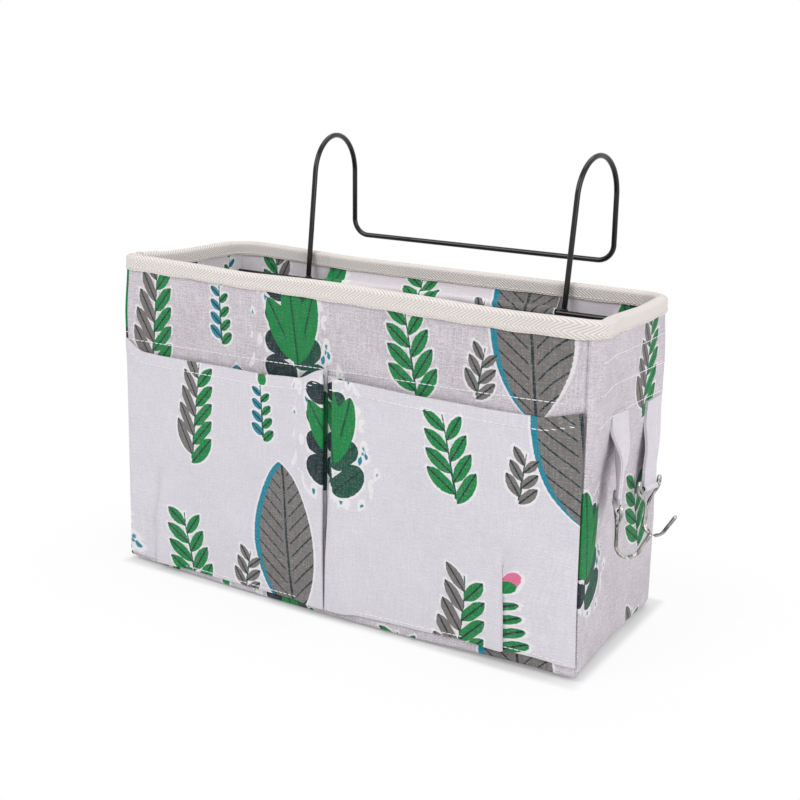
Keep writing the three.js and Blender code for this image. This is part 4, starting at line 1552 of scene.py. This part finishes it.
class Kit:
    """Node groups of the cloth: shapes of the leaf print, the print itself, the weave and the tape."""

    def __init__(self) -> None:
        """Makes the groups, each once."""
        self.leaf = self.leaf_group()
        self.sprig = self.sprig_group()
        self.print = self.print_group()
        self.weave = self.weave_group()
        self.twill = self.twill_group()

    @staticmethod
    def start(
        name: str, inputs: dict[str, object], outputs: str
    ) -> tuple[Tree, Graph, dict[str, Signal], Callable[..., None]]:
        """An empty group.

        Args:
            name: group name.
            inputs: defaults by label; a tuple makes a vector.
            outputs: labels; Colour is a colour and the others are numbers.

        Returns:
            The tree, its graph, its inputs by label and a function that feeds its outputs by label.
        """
        tree = bpy.data.node_groups.new(name, "ShaderNodeTree")
        for label, default in inputs.items():
            kind = "NodeSocketVector" if isinstance(default, tuple) else "NodeSocketFloat"
            tree.interface.new_socket(name=label, in_out="INPUT", socket_type=kind).default_value = default
        for label in outputs.split():
            kind = "NodeSocketColor" if label == "Colour" else "NodeSocketFloat"
            tree.interface.new_socket(name=label, in_out="OUTPUT", socket_type=kind)
        graph = Graph(tree)
        given = graph.named(graph.add("NodeGroupInput"))
        end = graph.add("NodeGroupOutput")

        def give(**sources: Source) -> None:
            for label, source in sources.items():
                graph.feed(end.inputs[label], source)

        return tree, graph, given, give

    @staticmethod
    def placed(graph: Graph, given: dict[str, Signal]) -> list[Signal]:
        """The group's point in the motif's own axes, across it and along it."""
        rotate = graph.add("ShaderNodeVectorRotate", rotation_type="Z_AXIS")
        offset = graph.vector("SUBTRACT", given["Point"], given["Base"])
        return graph.split(graph.fed(rotate, {"Vector": offset, "Angle": given["Turn"] * -1.0}))[:2]

    @staticmethod
    def blade(across: Signal, along: Signal, length: Signal, width: Signal, power: Signal) -> Signal:
        """Signed distance from a leaf's outline that starts at 0 and ends at length."""
        share = along / length
        arch = along.graph.math("MULTIPLY", share * (1.0 - share), 4.0, clamp=True)
        middle = length * 0.5
        return (abs(across) - width * arch.power(power)).max(abs(along - middle) - middle)

    def leaf_group(self) -> Tree:
        """One leaf from its stalk: distance from its outline, place along it and across it."""
        inputs = {"Point": ORIGIN, "Base": ORIGIN, "Turn": 0.0, "Length": 20.0, "Width": 5.0, "Power": 0.8}
        tree, graph, given, give = self.start("leaf", inputs, "Distance Along Across")
        x, y = self.placed(graph, given)
        give(Distance=self.blade(x, y, given["Length"], given["Width"], given["Power"]), Along=y, Across=x)
        return tree

    def sprig_group(self) -> Tree:
        """A stem with leaves on both sides, smaller towards its top."""
        sizes = {"Pitch": 9.0, "Count": 5.0, "Lean": 0.9, "Length": 16.0, "Width": 3.0, "Power": 0.8, "Taper": 0.4}
        inputs = {"Point": ORIGIN, "Base": ORIGIN, "Turn": 0.0, **sizes}
        tree, graph, given, give = self.start("sprig", inputs, "Leaves Stem Side Rib")
        x, y = self.placed(graph, given)
        pitch, count = given["Pitch"], given["Count"]
        side, reach = x.sign(), abs(x)
        shifted = y + side * pitch * 0.22
        sine, cosine = given["Lean"].sin(), given["Lean"].cos()
        along = reach * sine + shifted * cosine
        across = reach * cosine - shifted * sine
        index = (across * -1.0 / (pitch * sine)).round().max(0.0).min(count - 1.0)
        root = index * pitch
        along, across = along - root * cosine, across + root * sine
        size = 1.0 - given["Taper"] * (index / count)
        leaves = self.blade(across, along, given["Length"] * size, given["Width"] * size, given["Power"])
        height = pitch * count
        middle = height * 0.5
        stem = (reach - y.step(0.0, height, 0.85, 0.4)).max(abs(y - middle) - middle)
        give(Leaves=leaves, Stem=stem, Side=side, Rib=abs(across))
        return tree

    def print_group(self) -> Tree:
        """The all-over print: a half-drop tile of leaves and sprigs, each with a white edge."""
        inputs = {"Point": ORIGIN, "Tile": 190.0}
        tree, graph, given, give = self.start("leaf_print", inputs, "Colour Ink Edge Grain")
        x, y, _ = graph.split(given["Point"])
        size = given["Tile"]
        dropped = y + (x / size).floor() * size * 0.5
        tile = graph.combine(x.modulo(size), dropped.modulo(size))
        wobble = (graph.noise(given["Point"], 0.55, 3.0) - 0.5) * 1.1
        shapes = LeafPrint(graph, tile, self.leaf, self.sprig)
        colour: Source = ink(232, 229, 232)
        covered: Source = 0.0
        grain: Source = 0.0
        for distance, paint, open_share in shapes.layers:
            mask = (distance + wobble).step(0.25, -0.25)
            colour = graph.mixed(mask, colour, paint)
            covered = mask.max(covered)
            grain = (1.0 - mask) * grain + mask * open_share
        give(Colour=colour, Ink=covered, Edge=(shapes.outline() + wobble).step(1.6, 1.1), Grain=grain)
        return tree

    def weave_group(self) -> Tree:
        """Plain weave with uneven threads: height, thread tone and open specks."""
        inputs = {"Point": ORIGIN, "Pitch": 0.55}
        tree, graph, given, give = self.start("plain_weave", inputs, "Height Tone Specks")
        x, y, _ = graph.split(given["Point"])
        warp, weft = ((axis / given["Pitch"] * math.pi).sin() for axis in (x, y))
        level = graph.noise(graph.combine(x * 0.10, y * 1.2), 1.0, 3.0)
        upright = graph.noise(graph.combine(x * 1.2, y * 0.08, 7.0), 1.0, 3.0)
        slub = level.step(0.28, 0.76) + upright.step(0.28, 0.76)
        dashes = graph.noise(graph.combine(x * 0.55, y * 1.9, 3.0), 1.0, 2.0)
        specks = graph.noise(given["Point"], 1.3, 2.0)
        grain = (dashes.step(0.3, 0.7) + specks.step(0.3, 0.7)) * 0.5
        height = warp * weft * 0.5 * 0.35 + (slub * 0.35 + grain * 0.9)
        open_specks = grain.step(0.42, 0.62) * slub.step(0.5, 1.3)
        give(Height=height, Tone=slub * 0.22 + grain * 0.56, Specks=open_specks)
        return tree

    def twill_group(self) -> Tree:
        """Herringbone twill tape: height of its ribs, and a tone that is random thread tone mixed with painted shade,
        darker in the grooves between the ribs.
        """
        inputs = {"Point": ORIGIN, "Band": 4.6, "Rib": 2.5}
        tree, graph, given, give = self.start("herringbone", inputs, "Height Tone")
        x, y, _ = graph.split(given["Point"])
        zigzag = y.pingpong(given["Band"])
        ribs = ((x + zigzag * 1.5) / given["Rib"] * (2 * math.pi)).sin()
        threads = graph.noise(graph.combine(x * 2.2, y * 0.7), 1.0, 2.0)
        height = ribs.step(-0.6, 0.7) * 0.7 + (threads * 0.4 + zigzag.step(0.0, 0.25) * 0.15)
        # Tone is lowest in the grooves between the ribs, where it stands for painted shade, mixed with random thread
        # tone.
        give(Height=height, Tone=ribs.step(-0.9, 0.3) * 0.6 + threads * 0.4)
        return tree


# --- Finishes ----------------------------------------------------------------------------------------


@dataclass(frozen=True)
class ClothFinish:
    """Printed plain-weave cloth: where the print starts, ground, relief in metres and strength of the print."""

    name: str
    offset: tuple[float, float]
    ground: Colour
    shade: Colour
    relief: float
    strength: float = 1.0


@dataclass(frozen=True)
class WireFinish:
    """Wire: colour, second colour in cloudy patches (painted dark reflection on the bright wire, an uneven coat on the
    black wire), roughness range and how metallic it is.
    """

    name: str
    colour: Colour
    patches_and_painted_reflection: Colour
    roughness: tuple[float, float]
    metallic: float
    specular: float
    relief: float = 0.00002


class Finishes:
    """Makes the materials."""

    def __init__(self) -> None:
        """Starts with the shared node groups."""
        self.kit = Kit()

    @staticmethod
    def start(name: str) -> tuple[bpy.types.Material, Graph]:
        """A material and its graph."""
        material = bpy.data.materials.new(name)
        material.use_nodes = True
        return material, Graph(material.node_tree)

    @staticmethod
    def cloth_point(graph: Graph) -> Signal:
        """Place on the cloth in millimetres."""
        return graph.vector("SCALE", graph.add("ShaderNodeUVMap", uv_map=CLOTH_UV).outputs[0], 1000.0)

    @staticmethod
    def shade(graph: Graph, colour: Signal, roughness: Signal, height: Signal, relief: float, **levels: float) -> None:
        """Feeds the material's shader.

        Args:
            graph: the material's graph.
            colour: base colour.
            roughness: roughness.
            height: relief, between 0 and about 1.
            relief: what a height of 1 stands for, in metres.
            levels: constant inputs, with _ for a space in the label.
        """
        shader = graph.tree.nodes["Principled BSDF"]
        sources = {"Strength": 1.0, "Distance": relief, "Height": height}
        bump = graph.fed(graph.add("ShaderNodeBump"), sources)
        graph.fed(shader, {"Base Color": colour, "Roughness": roughness, "Normal": bump})
        for label, value in levels.items():
            shader.inputs[label.replace("_", " ")].default_value = value

    def cloth(self, finish: ClothFinish) -> bpy.types.Material:
        """Printed canvas."""
        material, graph = self.start(finish.name)
        point = self.cloth_point(graph)
        weave = graph.use(self.kit.weave, Point=point)
        pattern = graph.use(self.kit.print, Point=graph.vector("ADD", point, (*finish.offset, 0.0)))
        tone = weave["Tone"] * 0.75 + graph.noise(point, 0.035) * 0.25
        ground = graph.mixed(tone.step(0.15, 0.85), finish.shade, finish.ground)
        edged = graph.mixed(pattern["Edge"] * (0.75 * finish.strength), ground, ink(236, 234, 236))
        through = weave["Specks"] * pattern["Grain"] * 0.4
        cover = pattern["Ink"] * (1.0 - through) * finish.strength
        dyed = graph.mixed(weave["Tone"] * 0.07, pattern["Colour"], ink(150, 160, 158))
        roughness = weave["Tone"].step(0.0, 1.0, 0.95, 0.82)
        height = weave["Height"] + graph.noise(point, 0.045, 3.0) * 2.2
        levels = {"Specular_IOR_Level": 0.25, "Sheen_Weight": 0.06}
        self.shade(graph, graph.mixed(cover, edged, dyed), roughness, height, finish.relief, **levels)
        return material

    def tape(self, name: str, tone: Colour, shade: Colour) -> bpy.types.Material:
        """Herringbone twill tape, its colour darker in the grooves between the ribs: painted shade."""
        material, graph = self.start(name)
        twill = graph.use(self.kit.twill, Point=self.cloth_point(graph))
        # Painted shade: the shade colour falls in the grooves between the ribs.
        colour = graph.mixed(twill["Tone"].step(0.05, 0.85), shade, tone)
        roughness = twill["Tone"].step(0.0, 1.0, 0.95, 0.8)
        self.shade(graph, colour, roughness, twill["Height"], 0.00034, Specular_IOR_Level=0.25)
        return material

    def thread(self, name: str, tone: Colour, shade: Colour) -> bpy.types.Material:
        """Spun thread."""
        material, graph = self.start(name)
        fibres = graph.noise(graph.own_place(), 2600.0)
        self.shade(graph, graph.mixed(fibres, shade, tone), fibres.step(0.2, 0.8, 0.8, 0.6), fibres, 0.00008)
        return material

    def board(self) -> bpy.types.Material:
        """Grey stiffening board of pressed fibres."""
        material, graph = self.start("stiffening_board")
        place = graph.own_place()
        fibres = graph.noise(place, 700.0, 4.0)
        flecks = graph.noise(place, 1900.0).step(0.6, 0.72)
        ground = graph.mixed(fibres.step(0.3, 0.7), ink(142, 134, 122), ink(164, 157, 146))
        colour = graph.mixed(flecks * 0.5, ground, ink(98, 90, 82))
        self.shade(graph, colour, fibres.step(0.2, 0.8, 0.95, 0.82), fibres, 0.0001)
        return material

    def wire(self, finish: WireFinish) -> bpy.types.Material:
        """Dipped or plated wire."""
        material, graph = self.start(finish.name)
        place = graph.own_place()
        clouds, fine = graph.noise(place, 160.0, 3.0), graph.noise(place, 1500.0)
        # Second colour in cloudy patches: painted dark reflection on the bright wire, an uneven coat on the black wire.
        colour = graph.mixed(clouds.step(0.35, 0.75), finish.colour, finish.patches_and_painted_reflection)
        roughness = clouds.step(0.3, 0.75, *finish.roughness)
        levels = {"Metallic": finish.metallic, "Specular_IOR_Level": finish.specular}
        self.shade(graph, colour, roughness, clouds * 0.8 + fine * 0.2, finish.relief, **levels)
        return material


# --- Assembly ----------------------------------------------------------------------------------------


def dress(pieces: Sequence[Piece], material: bpy.types.Material) -> None:
    """Gives pieces one material."""
    for piece in pieces:
        piece.data.materials.clear()
        piece.data.materials.append(material)


def finish_pieces(
    shell: dict[str, list[Piece]], soft: dict[str, list[Piece]], rack: Sequence[Piece], hooks: Sequence[Piece]
) -> None:
    """Gives every piece its material.

    Args:
        shell: canvas, board and lining pieces.
        soft: pockets, sleeve, straps, tape and threads.
        rack: the black wires.
        hooks: the bright wires.
    """
    make = Finishes()
    canvas = ClothFinish("printed_canvas", (172.0, 154.0), ink(231, 224, 231), ink(178, 171, 179), 0.0003)
    pocket = ClothFinish("pocket_canvas", (140.0, 18.0), ink(227, 223, 230), ink(207, 203, 211), 0.0002)
    strap = ClothFinish("strap_canvas", (60.0, 92.0), ink(226, 221, 228), ink(207, 202, 210), 0.00022, 0.0)
    lining = ClothFinish("lining_cloth", (40.0, 60.0), ink(228, 222, 227), ink(212, 206, 212), 0.0001)
    black = WireFinish("black_wire", ink(10, 10, 11), ink(17, 17, 18), (0.08, 0.16), 0.0, 0.4)
    # The bright wire's dark second colour is painted reflection of dark surroundings.
    bright = WireFinish("bright_wire", ink(196, 193, 190), ink(92, 90, 89), (0.06, 0.16), 1.0, 0.5)
    dress(shell["canvas"], make.cloth(canvas))
    dress(soft["pockets"], make.cloth(pocket))
    dress(soft["straps"], make.cloth(strap))
    dress([*shell["lining"], *soft["sleeve"]], make.cloth(lining))
    dress(shell["board"], make.board())
    dress(soft["tape"], make.tape("rim_tape", ink(237, 231, 227), ink(205, 197, 193)))
    dress(soft["cream"], make.thread("cream_thread", ink(234, 228, 220), ink(205, 198, 190)))
    dress(soft["white"], make.thread("white_thread", ink(250, 248, 250), ink(226, 223, 226)))
    dress(rack, make.wire(black))
    dress(hooks, make.wire(bright))


def main() -> None:
    """Builds the organizer on its frame."""
    logging.basicConfig(level=logging.INFO, format="%(message)s")
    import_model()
    Studio().build()
    form = BoxForm()
    shell = BoxShell(form).build()
    rim = RimBinding(form)
    tape = rim.build()
    left_mouth = ((-0.158, 0.149), (-0.142, 0.142), (-0.051, 0.143), (-0.020, 0.1445), (0.0, 0.152))
    right_mouth = ((0.002, 0.148), (0.057, 0.146), (0.137, 0.145), (0.161, 0.152))
    left = FrontPocket(form, "left", -1, left_mouth, pleat_at=0.0235, fold_retreat=0.0001)
    right = FrontPocket(form, "right", 1, right_mouth, pleat_at=0.0410, fold_retreat=0.0058)
    pockets = [left.build(), right.build()]
    sleeve = BarSleeve().build()
    rack = RailRack().build()
    front_hook = WireHook("front", Vector((0.175, -0.041, 0.0973)), turn=28, tilt=6)
    rear_hook = WireHook("rear", Vector((0.167, 0.0275, 0.0865)), turn=0, tilt=9)
    hooks = [front_hook.build(), rear_hook.build()]
    front_hang = {"slide": 0.0008, "bow": 0.0004, "cup": 0.0022, "twist": 0.0014, "top_x": 0.1633}
    rear_hang = {"slide": 0.0, "bow": -0.0002, "cup": 0.0010, "twist": 0.0006, "top_x": 0.1637}
    straps = [
        Strap("front", Vector((0.1622, -0.017, 0.142)), front_hook, **front_hang).build(),
        Strap("rear", Vector((0.1622, 0.035, 0.138)), rear_hook, **rear_hang).build(),
    ]
    threads = Stitching(form).build(rim, [left, right])
    cream = [piece for piece in threads if "rim" in piece.name]
    white = [piece for piece in threads if piece not in cream]
    soft = {"pockets": pockets, "straps": straps, "sleeve": [sleeve], "tape": tape, "cream": cream, "white": white}
    finish_pieces(shell, soft, rack, hooks)
    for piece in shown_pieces():
        LOG.info("%s: %d faces", piece.name, len(piece.data.polygons))


if __name__ == "__main__":
    main()
